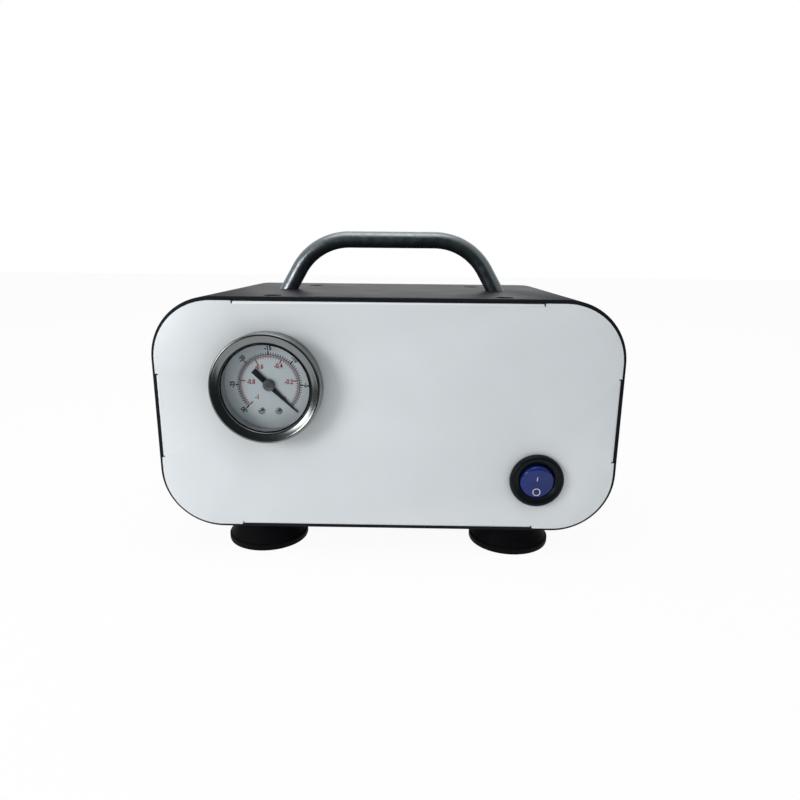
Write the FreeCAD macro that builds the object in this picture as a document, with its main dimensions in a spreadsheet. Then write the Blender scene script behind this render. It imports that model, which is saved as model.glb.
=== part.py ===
import FreeCAD, Part
import math
import os

import Sketcher
from FreeCAD import Placement, Rotation, Vector

doc = FreeCAD.newDocument("diaphragm_vacuum_pump")
sheet = doc.addObject("Spreadsheet::Sheet", "Sizes")
pieces = []


# Lengths that know their place in the sheet


def number_of(value):
    """Plain number of a length or a number."""
    return value.number if isinstance(value, Size) else float(value)


def formula_of(value):
    """Sheet formula of a length or a number."""
    return value.formula if isinstance(value, Size) else repr(float(value))


class Size:
    """A length with its number and the sheet formula that gives it."""

    def __init__(self, number, formula):
        self.number = float(number)
        self.formula = formula

    def __float__(self):
        return self.number

    def __neg__(self):
        return Size(-self.number, "(0 - %s)" % self.formula)

    def __add__(self, other):
        return joined(self, "+", other, self.number + number_of(other))

    def __radd__(self, other):
        return joined(other, "+", self, self.number + number_of(other))

    def __sub__(self, other):
        return joined(self, "-", other, self.number - number_of(other))

    def __rsub__(self, other):
        return joined(other, "-", self, number_of(other) - self.number)

    def __mul__(self, other):
        return joined(self, "*", other, self.number * number_of(other))

    def __rmul__(self, other):
        return joined(other, "*", self, self.number * number_of(other))

    def __truediv__(self, other):
        return joined(self, "/", other, self.number / number_of(other))


def joined(first, sign, second, number):
    """A length worked out from two others."""
    return Size(number, "(%s %s %s)" % (formula_of(first), sign, formula_of(second)))


def size(name, value):
    """Write one driving dimension into the sheet under its own name."""
    size.row += 1
    cell = "A%d" % size.row
    sheet.set(cell, repr(float(value)))
    sheet.setAlias(cell, name)
    return Size(value, "Sizes.%s" % name)


size.row = 0

# Wrapped sheet-metal case
case_width = size("case_width", 195.0)
case_height = size("case_height", 100.0)
case_length = size("case_length", 108.0)
case_corner = size("case_corner", 26.0)
case_wall = size("case_wall", 1.5)
fit_gap = size("fit_gap", 0.3)
seat_gap = size("seat_gap", 0.05)

# Front and rear panels with flanges that slide into the case
panel_sheet = size("panel_sheet", 1.5)
panel_reveal = size("panel_reveal", 1.25)
flange_length = size("flange_length", 15.0)
rear_top_flange = size("rear_top_flange", 30.0)
flange_inset_wide = size("flange_inset_wide", 9.1)
flange_inset_tall = size("flange_inset_tall", 6.5)
relief_width = size("relief_width", 0.7)
relief_depth = size("relief_depth", 1.2)
bend_radius = size("bend_radius", 1.0)

# Handle bent from round bar
handle_span = size("handle_span", 100.0)
handle_bar = size("handle_bar", 7.7)
handle_rise = size("handle_rise", 23.4)
handle_bend = size("handle_bend", 28.0)
handle_leg_angle = 60.0
handle_overrun = size("handle_overrun", 8.0)

# Rubber feet
foot_radius = size("foot_radius", 18.0)
foot_neck = size("foot_neck", 14.0)
foot_height = size("foot_height", 12.0)
foot_rim = size("foot_rim", 3.0)
foot_side_inset = size("foot_side_inset", 41.5)
foot_inset = size("foot_inset", 19.0)
foot_well_radius = size("foot_well_radius", 5.6)
foot_well_depth = size("foot_well_depth", 5.0)

# Tray that carries the pump
tray_side_gap = size("tray_side_gap", 1.5)
tray_end_gap = size("tray_end_gap", 1.0)
tray_sheet = size("tray_sheet", 1.5)
tray_corner = size("tray_corner", 4.0)

# Vacuum gauge
gauge_side_inset = size("gauge_side_inset", 48.4)
gauge_rise = size("gauge_rise", 13.8)
gauge_bezel_radius = size("gauge_bezel_radius", 22.75)
gauge_bezel_proud = size("gauge_bezel_proud", 8.0)
gauge_bezel_roll = size("gauge_bezel_roll", 2.8)
bezel_roll_steps = 2
bezel_dish = size("bezel_dish", 0.8)
gauge_opening = size("gauge_opening", 18.3)
gauge_can_radius = size("gauge_can_radius", 20.0)
gauge_can_wall = size("gauge_can_wall", 1.2)
gauge_can_depth = size("gauge_can_depth", 20.0)
gauge_glass = size("gauge_glass", 1.5)
gauge_lip = size("gauge_lip", 1.8)
dial_depth = size("dial_depth", 1.5)
dial_sheet = size("dial_sheet", 0.6)
pointer_reach = size("pointer_reach", 16.2)
pointer_tail = size("pointer_tail", 9.0)
pointer_tail_width = size("pointer_tail_width", 3.2)
pointer_blade_width = size("pointer_blade_width", 1.5)
pointer_sheet = size("pointer_sheet", 0.4)
pointer_hub = size("pointer_hub", 2.5)
pointer_lift = size("pointer_lift", 1.0)
arbor_radius = size("arbor_radius", 0.8)
gauge_port_drop = size("gauge_port_drop", 9.0)
gauge_port_radius = size("gauge_port_radius", 4.0)
pointer_tip = size("pointer_tip", 0.12)
pointer_hub_rise = size("pointer_hub_rise", 0.6)
pointer_neck_share = 0.4
pointer_zero_angle = 45.0
stud_x = size("stud_x", 11.0)
stud_radius = size("stud_radius", 1.5)
stud_length = size("stud_length", 5.5)
movement_depth = size("movement_depth", 4.5)
movement_end = size("movement_end", 13.5)
movement_sheet = size("movement_sheet", 1.0)
movement_radius = size("movement_radius", 8.0)
movement_foot_drop = size("movement_foot_drop", 13.2)
pillar_x = size("pillar_x", 5.0)
pillar_rise = size("pillar_rise", 3.0)
pillar_radius = size("pillar_radius", 1.2)
socket_foot_sheet = size("socket_foot_sheet", 2.4)
socket_foot_width = size("socket_foot_width", 9.0)
socket_foot_drop = size("socket_foot_drop", 7.5)
tube_outer = size("tube_outer", 15.5)
tube_sheet = size("tube_sheet", 2.0)
tube_width = size("tube_width", 3.5)
tube_depth = size("tube_depth", 8.0)
elbow_side = size("elbow_side", 10.0)
clamp_sheet = size("clamp_sheet", 1.5)
clamp_width = size("clamp_width", 10.0)
clamp_side_gap = size("clamp_side_gap", 1.5)
clamp_nut_radius = size("clamp_nut_radius", 3.2)
clamp_nut_height = size("clamp_nut_height", 2.4)

# Rocker switch
switch_side_inset = size("switch_side_inset", 33.8)
switch_drop = size("switch_drop", 26.0)
switch_bezel_radius = size("switch_bezel_radius", 11.5)
switch_bezel_proud = size("switch_bezel_proud", 2.6)
switch_opening = size("switch_opening", 7.5)
switch_barrel_radius = size("switch_barrel_radius", 9.9)
switch_barrel_depth = size("switch_barrel_depth", 20.0)
rocker_radius = size("rocker_radius", 7.2)
rocker_pivot_depth = size("rocker_pivot_depth", 0.2)
rocker_half_angle = 8.0
rocker_well = size("rocker_well", 9.0)
rocker_pin = size("rocker_pin", 1.3)
rocker_skirt = size("rocker_skirt", 2.0)
rocker_rise = size("rocker_rise", 1.9)
bezel_slope = size("bezel_slope", 1.3)
bezel_crest = size("bezel_crest", 10.1)
bezel_edge = size("bezel_edge", 1.2)
tab_pitch = size("tab_pitch", 6.0)
tab_width = size("tab_width", 4.8)
tab_length = size("tab_length", 8.0)
tab_sheet = size("tab_sheet", 0.8)

# Mains inlet with its fuse drawer
inlet_side_inset = size("inlet_side_inset", 20.5)
inlet_drop = size("inlet_drop", 14.0)
inlet_flange_width = size("inlet_flange_width", 31.0)
inlet_flange_height = size("inlet_flange_height", 50.0)
inlet_flange_sheet = size("inlet_flange_sheet", 2.5)
inlet_body_width = size("inlet_body_width", 28.5)
inlet_body_height = size("inlet_body_height", 27.8)
inlet_body_depth = size("inlet_body_depth", 19.0)
inlet_recess_width = size("inlet_recess_width", 16.4)
inlet_recess_height = size("inlet_recess_height", 24.4)
inlet_recess_depth = size("inlet_recess_depth", 16.0)
inlet_wall = size("inlet_wall", 1.4)
inlet_corner = size("inlet_corner", 6.0)
inlet_recess_bevel = size("inlet_recess_bevel", 4.5)
inlet_pin_x = size("inlet_pin_x", 2.0)
inlet_pin_rise = size("inlet_pin_rise", 7.0)
inlet_pin_radius = size("inlet_pin_radius", 1.45)
inlet_pin_inset = size("inlet_pin_inset", 2.5)
drawer_width = size("drawer_width", 8.0)
drawer_height = size("drawer_height", 24.0)
drawer_depth = size("drawer_depth", 17.0)
drawer_front = size("drawer_front", 1.8)
drawer_lip = size("drawer_lip", 1.0)
drawer_lip_height = size("drawer_lip_height", 10.0)
fuse_radius = size("fuse_radius", 2.6)
fuse_length = size("fuse_length", 20.0)

# Ports in the rear panel
port_radius = size("port_radius", 4.9)
port_clearance = size("port_clearance", 0.2)
nozzle_radius = size("nozzle_radius", 4.0)
nozzle_out = size("nozzle_out", 22.0)
nozzle_bore = size("nozzle_bore", 2.2)
port_hex_radius = size("port_hex_radius", 7.6)
port_hex_height = size("port_hex_height", 4.0)
silencer_radius = size("silencer_radius", 6.4)
silencer_bevel = size("silencer_bevel", 2.4)
nozzle_bevel = size("nozzle_bevel", 0.8)
bulkhead_inner = size("bulkhead_inner", 8.5)
port_nut_height = size("port_nut_height", 3.0)
tee_inset = size("tee_inset", 2.2)
hose_lane = size("hose_lane", -12.0)
hose_bend = size("hose_bend", 8.0)
hose_fall = size("hose_fall", 10.7)

# Vent slots in the rear panel
vent_slot = size("vent_slot", 3.0)
vent_height = size("vent_height", 40.0)
vent_pitch = size("vent_pitch", 7.0)
vent_count = 8
vent_x = size("vent_x", 27.0)
vent_drop = size("vent_drop", 4.0)

# Motor and its shaft
shaft_share = 0.42
pump_forward = size("pump_forward", 3.0)
shaft_radius = size("shaft_radius", 4.0)
running_gap = size("running_gap", 0.05)
stator_share = 0.31
stator_ring = size("stator_ring", 15.0)
rotor_gap = size("rotor_gap", 0.5)
winding_length = size("winding_length", 8.0)
winding_step = size("winding_step", 1.5)
winding_rim = size("winding_rim", 4.5)
winding_slot = size("winding_slot", 3.2)
winding_slots = 12
shaft_tail = size("shaft_tail", 1.0)

# Crankcases, cranks and rods
head_inset = size("head_inset", 16.0)
crank_throw = size("crank_throw", 1.5)
crank_block_depth = size("crank_block_depth", 38.0)
crank_block_wall = size("crank_block_wall", 2.5)
seat_share = 0.28
seat_sheet = size("seat_sheet", 5.0)
bell_length = size("bell_length", 13.5)
bell_wall = size("bell_wall", 2.5)
main_bearing_radius = size("main_bearing_radius", 11.0)
main_bearing_width = size("main_bearing_width", 7.0)
crank_pin_radius = size("crank_pin_radius", 6.0)
rod_bearing_radius = size("rod_bearing_radius", 10.0)
rod_bearing_width = size("rod_bearing_width", 6.0)
rod_eye_radius = size("rod_eye_radius", 13.5)
rod_width = size("rod_width", 12.0)
rod_disc_radius = size("rod_disc_radius", 10.5)
rod_stem_radius = size("rod_stem_radius", 3.0)
counterweight_radius = size("counterweight_radius", 14.0)
crank_shoulder = size("crank_shoulder", 1.0)
weight_width = size("weight_width", 4.5)
rod_disc_sheet = size("rod_disc_sheet", 2.0)
crank_clearance = size("crank_clearance", 0.4)

# Diaphragms, valve plates and heads
diaphragm_sheet = size("diaphragm_sheet", 1.2)
work_radius = size("work_radius", 15.0)
head_side = size("head_side", 41.0)
valve_plate_height = size("valve_plate_height", 9.0)
valve_chamber_depth = size("valve_chamber_depth", 6.2)
head_height = size("head_height", 9.0)
clamp_disc_radius = size("clamp_disc_radius", 10.5)
clamp_disc_sheet = size("clamp_disc_sheet", 2.0)
diaphragm_rim = size("diaphragm_rim", 3.0)
valve_offset = size("valve_offset", 8.5)
valve_radius = size("valve_radius", 3.9)
valve_port_radius = size("valve_port_radius", 1.2)
valve_height = size("valve_height", 1.0)
fin_gap = size("fin_gap", 2.2)
fin_depth = size("fin_depth", 4.0)
fin_length = size("fin_length", 26.0)
fin_count = 6
hose_port_drop = size("hose_port_drop", 4.5)
barb_radius = size("barb_radius", 2.0)
barb_length = size("barb_length", 6.0)
barb_bore = size("barb_bore", 1.2)
hose_radius = size("hose_radius", 3.0)

# Rubber mounts under the pump
mount_radius = size("mount_radius", 6.0)
mount_inset = size("mount_inset", 3.0)
mount_edge = size("mount_edge", 17.0)
pump_foot_sheet = size("pump_foot_sheet", 3.0)
foot_plate_inset = size("foot_plate_inset", 5.0)
foot_plate_width = size("foot_plate_width", 20.0)

# Cooling fan and motor capacitor
fan_radius = size("fan_radius", 24.0)
fan_hub_radius = size("fan_hub_radius", 8.0)
fan_width = size("fan_width", 8.0)
fan_end_gap = size("fan_end_gap", 12.0)
fan_block_gap = size("fan_block_gap", 8.0)
fan_blades = 7
fan_pitch_angle = 32.0
fan_chord = size("fan_chord", 9.9)
fan_sheet = size("fan_sheet", 1.4)
fan_root = size("fan_root", 1.0)
capacitor_width = size("capacitor_width", 32.0)
capacitor_depth = size("capacitor_depth", 16.0)
capacitor_height = size("capacitor_height", 14.0)
capacitor_x = size("capacitor_x", -20.0)
capacitor_gap = size("capacitor_gap", 4.0)

doc.recompute()

# Planes and levels that several pieces share
body_length = case_length + 2.0 * panel_sheet
front_face = (gauge_bezel_proud - body_length - nozzle_out) / 2.0
case_front = front_face + panel_sheet
rear_face = front_face + body_length
case_bottom = foot_height
case_middle = case_bottom + case_height / 2.0
case_top = case_bottom + case_height
case_floor = case_bottom + case_wall
tray_top = case_floor + tray_sheet
half_width = case_width / 2.0
half_height = case_height / 2.0
flange_run_wide = case_width - 2.0 * case_corner - 2.0 * flange_inset_wide
flange_run_tall = case_height - 2.0 * case_corner - 2.0 * flange_inset_tall
tray_width = case_width - 2.0 * case_corner - 2.0 * tray_side_gap
foot_span = case_width - 2.0 * foot_side_inset
fan_start = half_width - case_wall - fan_end_gap - fan_width
crank_block_end = fan_start - fan_block_gap
head_x = crank_block_end - head_inset
stator_length = 2.0 * head_x - head_side - 2.0 * bell_length
bearing_x = stator_length / 2.0 + winding_length
foot_plate_x = head_x - foot_plate_inset
mount_span_x = 2.0 * foot_plate_x - 2.0 * mount_inset
port_span = 2.0 * head_x
gauge_x = gauge_side_inset - half_width
switch_x = half_width - switch_side_inset
inlet_x = inlet_side_inset - half_width
shaft_rise = case_height * shaft_share
seat_rise = case_height * seat_share
mount_height = shaft_rise - seat_rise - pump_foot_sheet - case_wall - tray_sheet
stator_radius = case_height * stator_share
winding_outer = stator_radius - winding_rim
stator_bore = stator_radius - stator_ring
winding_inner = stator_bore + winding_step
tray_depth = body_length - 2.0 * flange_length - 2.0 * tray_end_gap
mount_span_y = tray_depth - 2.0 * mount_edge
elbow_y = front_face + gauge_can_depth + stud_length + elbow_side / 2.0
port_inner_y = rear_face - panel_sheet - bulkhead_inner
pump_front_limit = elbow_y + elbow_side / 2.0 + crank_block_depth / 2.0
pump_rear_limit = port_inner_y - head_side / 2.0
shaft_y = (pump_front_limit + pump_rear_limit) / 2.0 - pump_forward
shaft_z = case_bottom + shaft_rise
seat_z = shaft_z + seat_rise
plate_z = seat_z + diaphragm_sheet
head_z = plate_z + valve_plate_height
head_top = head_z + head_height
port_z = head_top - hose_port_drop
gauge_z = case_middle + gauge_rise
switch_z = case_middle - switch_drop
inlet_z = case_middle - inlet_drop
flange_drop = case_wall + fit_gap
body_middle = front_face + body_length / 2.0
handle_y = body_middle
tray_y = body_middle
inlet_face = rear_face + inlet_flange_sheet
recess_x = inlet_x - (inlet_body_width - inlet_recess_width) / 2.0 + inlet_wall
drawer_x = inlet_x + (inlet_body_width - drawer_width) / 2.0 - inlet_wall
fuse_y = inlet_face - drawer_depth + fuse_radius + drawer_front
tee_y = port_inner_y + tee_inset
rod_disc_low = seat_rise - crank_throw - crank_clearance - rod_disc_sheet
clamp_low = seat_rise + diaphragm_sheet + crank_throw + crank_clearance


# Drawing and building helpers


def bind(item, prop, value):
    """Set a property and tie it to the sheet."""
    if isinstance(value, Size):
        item.setExpression(prop, value.formula)


def place(item, x, y, z, rotation=None):
    """Put a piece at a point worked out in the sheet."""
    point = Vector(float(x), float(y), float(z))
    item.Placement = Placement(point, rotation or Rotation())
    bind(item, "Placement.Base.x", x)
    bind(item, "Placement.Base.y", y)
    bind(item, "Placement.Base.z", z)
    return item


def keep(item, node):
    """Name a finished piece and put it on the list that is written out."""
    item.Label = node
    pieces.append(item)
    return item


def new_body(name):
    """Start a piece that is built by features."""
    return doc.addObject("PartDesign::Body", name)


class Outline:
    """A sketch on one of a body's own planes."""

    def __init__(self, body, plane, offset=0.0):
        self.sketch = body.newObject("Sketcher::SketchObject", "Sketch")
        role = [feature for feature in body.Origin.OriginFeatures if feature.Role == plane]
        self.sketch.AttachmentSupport = [(role[0], "")]
        self.sketch.MapMode = "FlatFace"
        self.sketch.AttachmentOffset = Placement(Vector(0, 0, float(offset)), Rotation())
        bind(self.sketch, "AttachmentOffset.Base.z", offset)

    def tie(self, kind, place_on, value):
        """Add one dimension and tie it to the sheet."""
        index = self.sketch.addConstraint(Sketcher.Constraint(kind, *place_on, float(value)))
        bind(self.sketch, "Constraints[%d]" % index, value)

    def pin(self, shape, end, x, y):
        """Hold a point of the outline at its place."""
        if abs(float(x)) < 1e-9:
            self.sketch.addConstraint(Sketcher.Constraint("PointOnObject", shape, end, -2))
        else:
            self.tie("DistanceX", (shape, end), x)
        if abs(float(y)) < 1e-9:
            self.sketch.addConstraint(Sketcher.Constraint("PointOnObject", shape, end, -1))
        else:
            self.tie("DistanceY", (shape, end), y)

    def circle(self, x, y, radius):
        centre = Vector(float(x), float(y), 0)
        ring = Part.Circle(centre, Vector(0, 0, 1), float(radius))
        shape = self.sketch.addGeometry(ring, False)
        self.tie("Radius", (shape,), radius)
        self.pin(shape, 3, x, y)
        return self

    def polygon(self, corners):
        """Closed straight-sided outline through the corners."""
        points = [Vector(float(x), float(y), 0) for x, y in corners]
        shapes = []
        for index, point in enumerate(points):
            following = points[(index + 1) % len(points)]
            shapes.append(self.sketch.addGeometry(Part.LineSegment(point, following), False))
        for index, shape in enumerate(shapes):
            following = shapes[(index + 1) % len(shapes)]
            self.sketch.addConstraint(Sketcher.Constraint("Coincident", shape, 2, following, 1))
        for shape, (x, y) in zip(shapes, corners):
            self.pin(shape, 1, x, y)
        return self

    def box(self, left, low, right, high):
        return self.polygon([(left, low), (right, low), (right, high), (left, high)])

    def rounded(self, x, y, width, height, radius):
        """Rectangle with round corners about a centre."""
        across = width / 2.0 - radius
        along = height / 2.0 - radius
        centres = [(x + across, y + along, 0), (x - across, y + along, 90)]
        centres += [(x - across, y - along, 180), (x + across, y - along, 270)]
        r = float(radius)
        arcs = []
        for cx, cy, start in centres:
            ring = Part.Circle(Vector(float(cx), float(cy), 0), Vector(0, 0, 1), r)
            low = math.radians(start)
            arcs.append(self.sketch.addGeometry(Part.ArcOfCircle(ring, low, low + math.pi / 2), False))
        lines = []
        for index, arc in enumerate(arcs):
            following = arcs[(index + 1) % 4]
            first = self.sketch.getPoint(arc, 2)
            second = self.sketch.getPoint(following, 1)
            lines.append(self.sketch.addGeometry(Part.LineSegment(first, second), False))
        for index, line in enumerate(lines):
            following = arcs[(index + 1) % 4]
            self.sketch.addConstraint(Sketcher.Constraint("Tangent", arcs[index], 2, line, 1))
            self.sketch.addConstraint(Sketcher.Constraint("Tangent", line, 2, following, 1))
        for arc, (cx, cy, start) in zip(arcs, centres):
            self.tie("Radius", (arc,), radius)
            self.pin(arc, 3, cx, cy)
        return self


def pad(body, outline, length, reverse=False, both=False):
    feature = body.newObject("PartDesign::Pad", "Pad")
    feature.Profile = outline.sketch
    feature.Length = float(length)
    bind(feature, "Length", length)
    feature.Reversed = reverse
    if both:
        feature.SideType = "Symmetric"
    return feature


def pocket(body, outline, length, reverse=False, both=False):
    feature = body.newObject("PartDesign::Pocket", "Pocket")
    feature.Profile = outline.sketch
    feature.Length = float(length)
    bind(feature, "Length", length)
    feature.Reversed = reverse
    if both:
        feature.SideType = "Symmetric"
    return feature


def turned(body, outline, axis):
    """Turn an outline about one of its own axes."""
    feature = body.newObject("PartDesign::Revolution", "Turn")
    feature.Profile = outline.sketch
    feature.ReferenceAxis = (outline.sketch, [axis])
    feature.Angle = 360.0
    return feature


def edges_where(shape, test):
    """Names of the edges that pass a test."""
    return ["Edge%d" % (n + 1) for n, edge in enumerate(shape.Edges) if test(edge)]


def rounded_edges(body, base, test, radius):
    doc.recompute()
    names = edges_where(base.Shape, test)
    feature = body.newObject("PartDesign::Fillet", "Fillet")
    feature.Base = (base, names)
    feature.Radius = float(radius)
    bind(feature, "Radius", radius)
    return feature


def polar(body, original, plane_axis, count):
    """Repeat a feature round one of the body's own axes."""
    doc.recompute()
    feature = body.newObject("PartDesign::PolarPattern", "Pattern")
    feature.Originals = [original]
    role = [item for item in body.Origin.OriginFeatures if item.Role == plane_axis]
    feature.Axis = (role[0], [""])
    feature.Angle = 360.0
    feature.Occurrences = count
    body.Tip = feature
    return feature


def linear(body, original, plane_axis, length, count, reverse=False):
    """Repeat a feature along one of the body's own axes."""
    doc.recompute()
    feature = body.newObject("PartDesign::LinearPattern", "Pattern")
    feature.Originals = [original]
    role = [item for item in body.Origin.OriginFeatures if item.Role == plane_axis]
    feature.Direction = (role[0], [""])
    feature.Length = float(length)
    bind(feature, "Length", length)
    feature.Occurrences = count
    feature.Reversed = reverse
    body.Tip = feature
    return feature


TURN_ABOUT = Rotation(Vector(0, 0, 1), 180)
AXES = {
    "x": Rotation(Vector(0, 0, 1), Vector(1, 0, 0)),
    "y": Rotation(Vector(0, 0, 1), Vector(0, 1, 0)),
    "z": Rotation(),
}


def rod_along(axis, x, y, z, radius, length):
    """Round bar from a point along one axis."""
    bar = doc.addObject("Part::Cylinder", "Bar")
    bar.Radius = float(radius)
    bar.Height = float(length)
    bind(bar, "Radius", radius)
    bind(bar, "Height", length)
    return place(bar, x, y, z, AXES[axis])


def cone_along(axis, x, y, z, first, second, length):
    """Cone from a point along one axis."""
    cone = doc.addObject("Part::Cone", "Cone")
    cone.Radius1 = float(first)
    cone.Radius2 = float(second)
    cone.Height = float(length)
    bind(cone, "Radius1", first)
    bind(cone, "Radius2", second)
    bind(cone, "Height", length)
    return place(cone, x, y, z, AXES[axis])


def block(x, y, z, width, depth, height):
    """Rectangular block centred on x and y and standing on z."""
    item = doc.addObject("Part::Box", "Block")
    item.Length = float(width)
    item.Width = float(depth)
    item.Height = float(height)
    bind(item, "Length", width)
    bind(item, "Width", depth)
    bind(item, "Height", height)
    return place(item, x - width / 2.0, y - depth / 2.0, z)


def hexagon(axis, x, y, z, radius, length):
    """Six-sided bar from a point along one axis."""
    item = doc.addObject("Part::Prism", "Hexagon")
    item.Polygon = 6
    item.Circumradius = float(radius)
    item.Height = float(length)
    bind(item, "Circumradius", radius)
    bind(item, "Height", length)
    return place(item, x, y, z, AXES[axis])


def fused(items):
    item = doc.addObject("Part::MultiFuse", "Fuse")
    item.Shapes = items
    item.Refine = True
    return item


def cut(base, tool):
    item = doc.addObject("Part::Cut", "Cut")
    item.Base = base
    item.Tool = tool
    return item


def common(first, second):
    item = doc.addObject("Part::MultiCommon", "Common")
    item.Shapes = [first, second]
    return item


def group(items):
    """Like pieces kept together as separate solids."""
    item = doc.addObject("Part::Compound", "Group")
    item.Links = items
    return item


def copies(item, places, rotations=None):
    """Like pieces at several places, each a separate solid."""
    doc.recompute()
    solids = []
    for index, (x, y, z) in enumerate(places):
        solid = item.Shape.copy()
        rotation = rotations[index] if rotations else Rotation()
        move = Placement(Vector(float(x), float(y), float(z)), rotation)
        solid.Placement = move.multiply(solid.Placement)
        solids.append(solid)
    feature = doc.addObject("Part::Feature", "Copies")
    feature.Shape = Part.makeCompound(solids)
    return feature


# Case and its panels


def case_shell():
    """One sheet wrapped into a round-cornered tube, open at the front and the rear."""
    body = new_body("CaseShell")
    skin = Outline(body, "XZ_Plane")
    skin.rounded(0.0, 0.0, case_width, case_height, case_corner)
    inner_corner = case_corner - case_wall
    skin.rounded(0.0, 0.0, case_width - 2.0 * case_wall, case_height - 2.0 * case_wall, inner_corner)
    pad(body, skin, case_length, reverse=True)
    return keep(place(body, 0.0, case_front, case_middle), "case_shell")


def foot_places():
    """Centres of the four feet."""
    spots = []
    for side in (-1, 1):
        for y in (front_face + foot_inset, rear_face - foot_inset):
            spots.append((side * foot_span / 2.0, y))
    return spots


def flanged_panel(name, top_flange):
    """Flat sheet whose four straight edges are bent back into the case."""
    body = new_body(name)
    blank = Outline(body, "XZ_Plane")
    width = case_width - 2.0 * panel_reveal
    height = case_height - 2.0 * panel_reveal
    blank.rounded(0.0, 0.0, width, height, case_corner - panel_reveal)
    pad(body, blank, panel_sheet, reverse=True)

    run_x = flange_run_wide / 2.0
    run_z = flange_run_tall / 2.0
    side_x = half_width - flange_drop
    side_z = half_height - flange_drop
    strips = Outline(body, "XZ_Plane")
    for side in (-1, 1):
        strips.box(-run_x, side * side_z, run_x, side * (half_height + relief_width))
        strips.box(side * side_x, -run_z, side * (half_width + relief_width), run_z)
    pocket(body, strips, panel_sheet * 2.0)

    reliefs = Outline(body, "XZ_Plane")
    for side in (-1, 1):
        for end in (-1, 1):
            deep_z = side * (side_z - relief_depth)
            out_z = side * (half_height + relief_width)
            reliefs.box(end * run_x, deep_z, end * (run_x + relief_width), out_z)
            deep_x = side * (side_x - relief_depth)
            out_x = side * (half_width + relief_width)
            reliefs.box(deep_x, end * run_z, out_x, end * (run_z + relief_width))
    pocket(body, reliefs, panel_sheet * 2.0)

    plain = Outline(body, "XZ_Plane")
    plain.box(-run_x, -side_z, run_x, panel_sheet - side_z)
    for side in (-1, 1):
        inner = side * (side_x - panel_sheet)
        plain.box(inner, -run_z, side * side_x, run_z)
    pad(body, plain, flange_length, reverse=True)
    upper = Outline(body, "XZ_Plane")
    upper.box(-run_x, side_z - panel_sheet, run_x, side_z)
    last = pad(body, upper, top_flange, reverse=True)

    far_x = float(side_x)
    far_z = float(side_z)

    def on_bend(edge):
        box = edge.BoundBox
        flat = abs(box.YMin) < 1e-4 and abs(box.YMax) < 1e-4
        wide = abs(abs(box.ZMin) - far_z) < 1e-4 and box.ZLength < 1e-4 and box.XLength > float(run_x)
        tall = abs(abs(box.XMin) - far_x) < 1e-4 and box.XLength < 1e-4 and box.ZLength > float(run_z)
        return flat and (wide or tall)

    rounded_edges(body, last, on_bend, bend_radius)
    return body


def front_panel():
    """Front panel with its two round openings."""
    body = flanged_panel("FrontPanel", flange_length)
    holes = Outline(body, "XZ_Plane")
    holes.circle(gauge_x, gauge_rise, gauge_can_radius + fit_gap)
    holes.circle(switch_x, -switch_drop, switch_barrel_radius + fit_gap)
    pocket(body, holes, panel_sheet * 2.0)
    return keep(place(body, 0.0, front_face, case_middle), "front_panel")


def rear_panel():
    """Rear panel with openings for both ports, the mains inlet and the air."""
    body = flanged_panel("RearPanel", rear_top_flange)
    holes = Outline(body, "XZ_Plane")
    for side in (-1, 1):
        holes.circle(side * port_span / 2.0, port_z - case_middle, port_radius + port_clearance)
    half_wide = inlet_body_width / 2.0 + fit_gap
    half_tall = inlet_body_height / 2.0 + fit_gap
    holes.box(-inlet_x - half_wide, -inlet_drop - half_tall, -inlet_x + half_wide, -inlet_drop + half_tall)
    pocket(body, holes, panel_sheet * 2.0)
    vent = Outline(body, "XZ_Plane")
    half_slot = vent_slot / 2.0
    low = -vent_drop - vent_height / 2.0
    vent.box(-vent_x - half_slot, low, -vent_x + half_slot, low + vent_height)
    slot = pocket(body, vent, panel_sheet * 2.0)
    linear(body, slot, "X_Axis", vent_pitch * (vent_count - 1), vent_count, reverse=True)
    return keep(place(body, 0.0, rear_face, case_middle, TURN_ABOUT), "rear_panel")


# Handle


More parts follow.
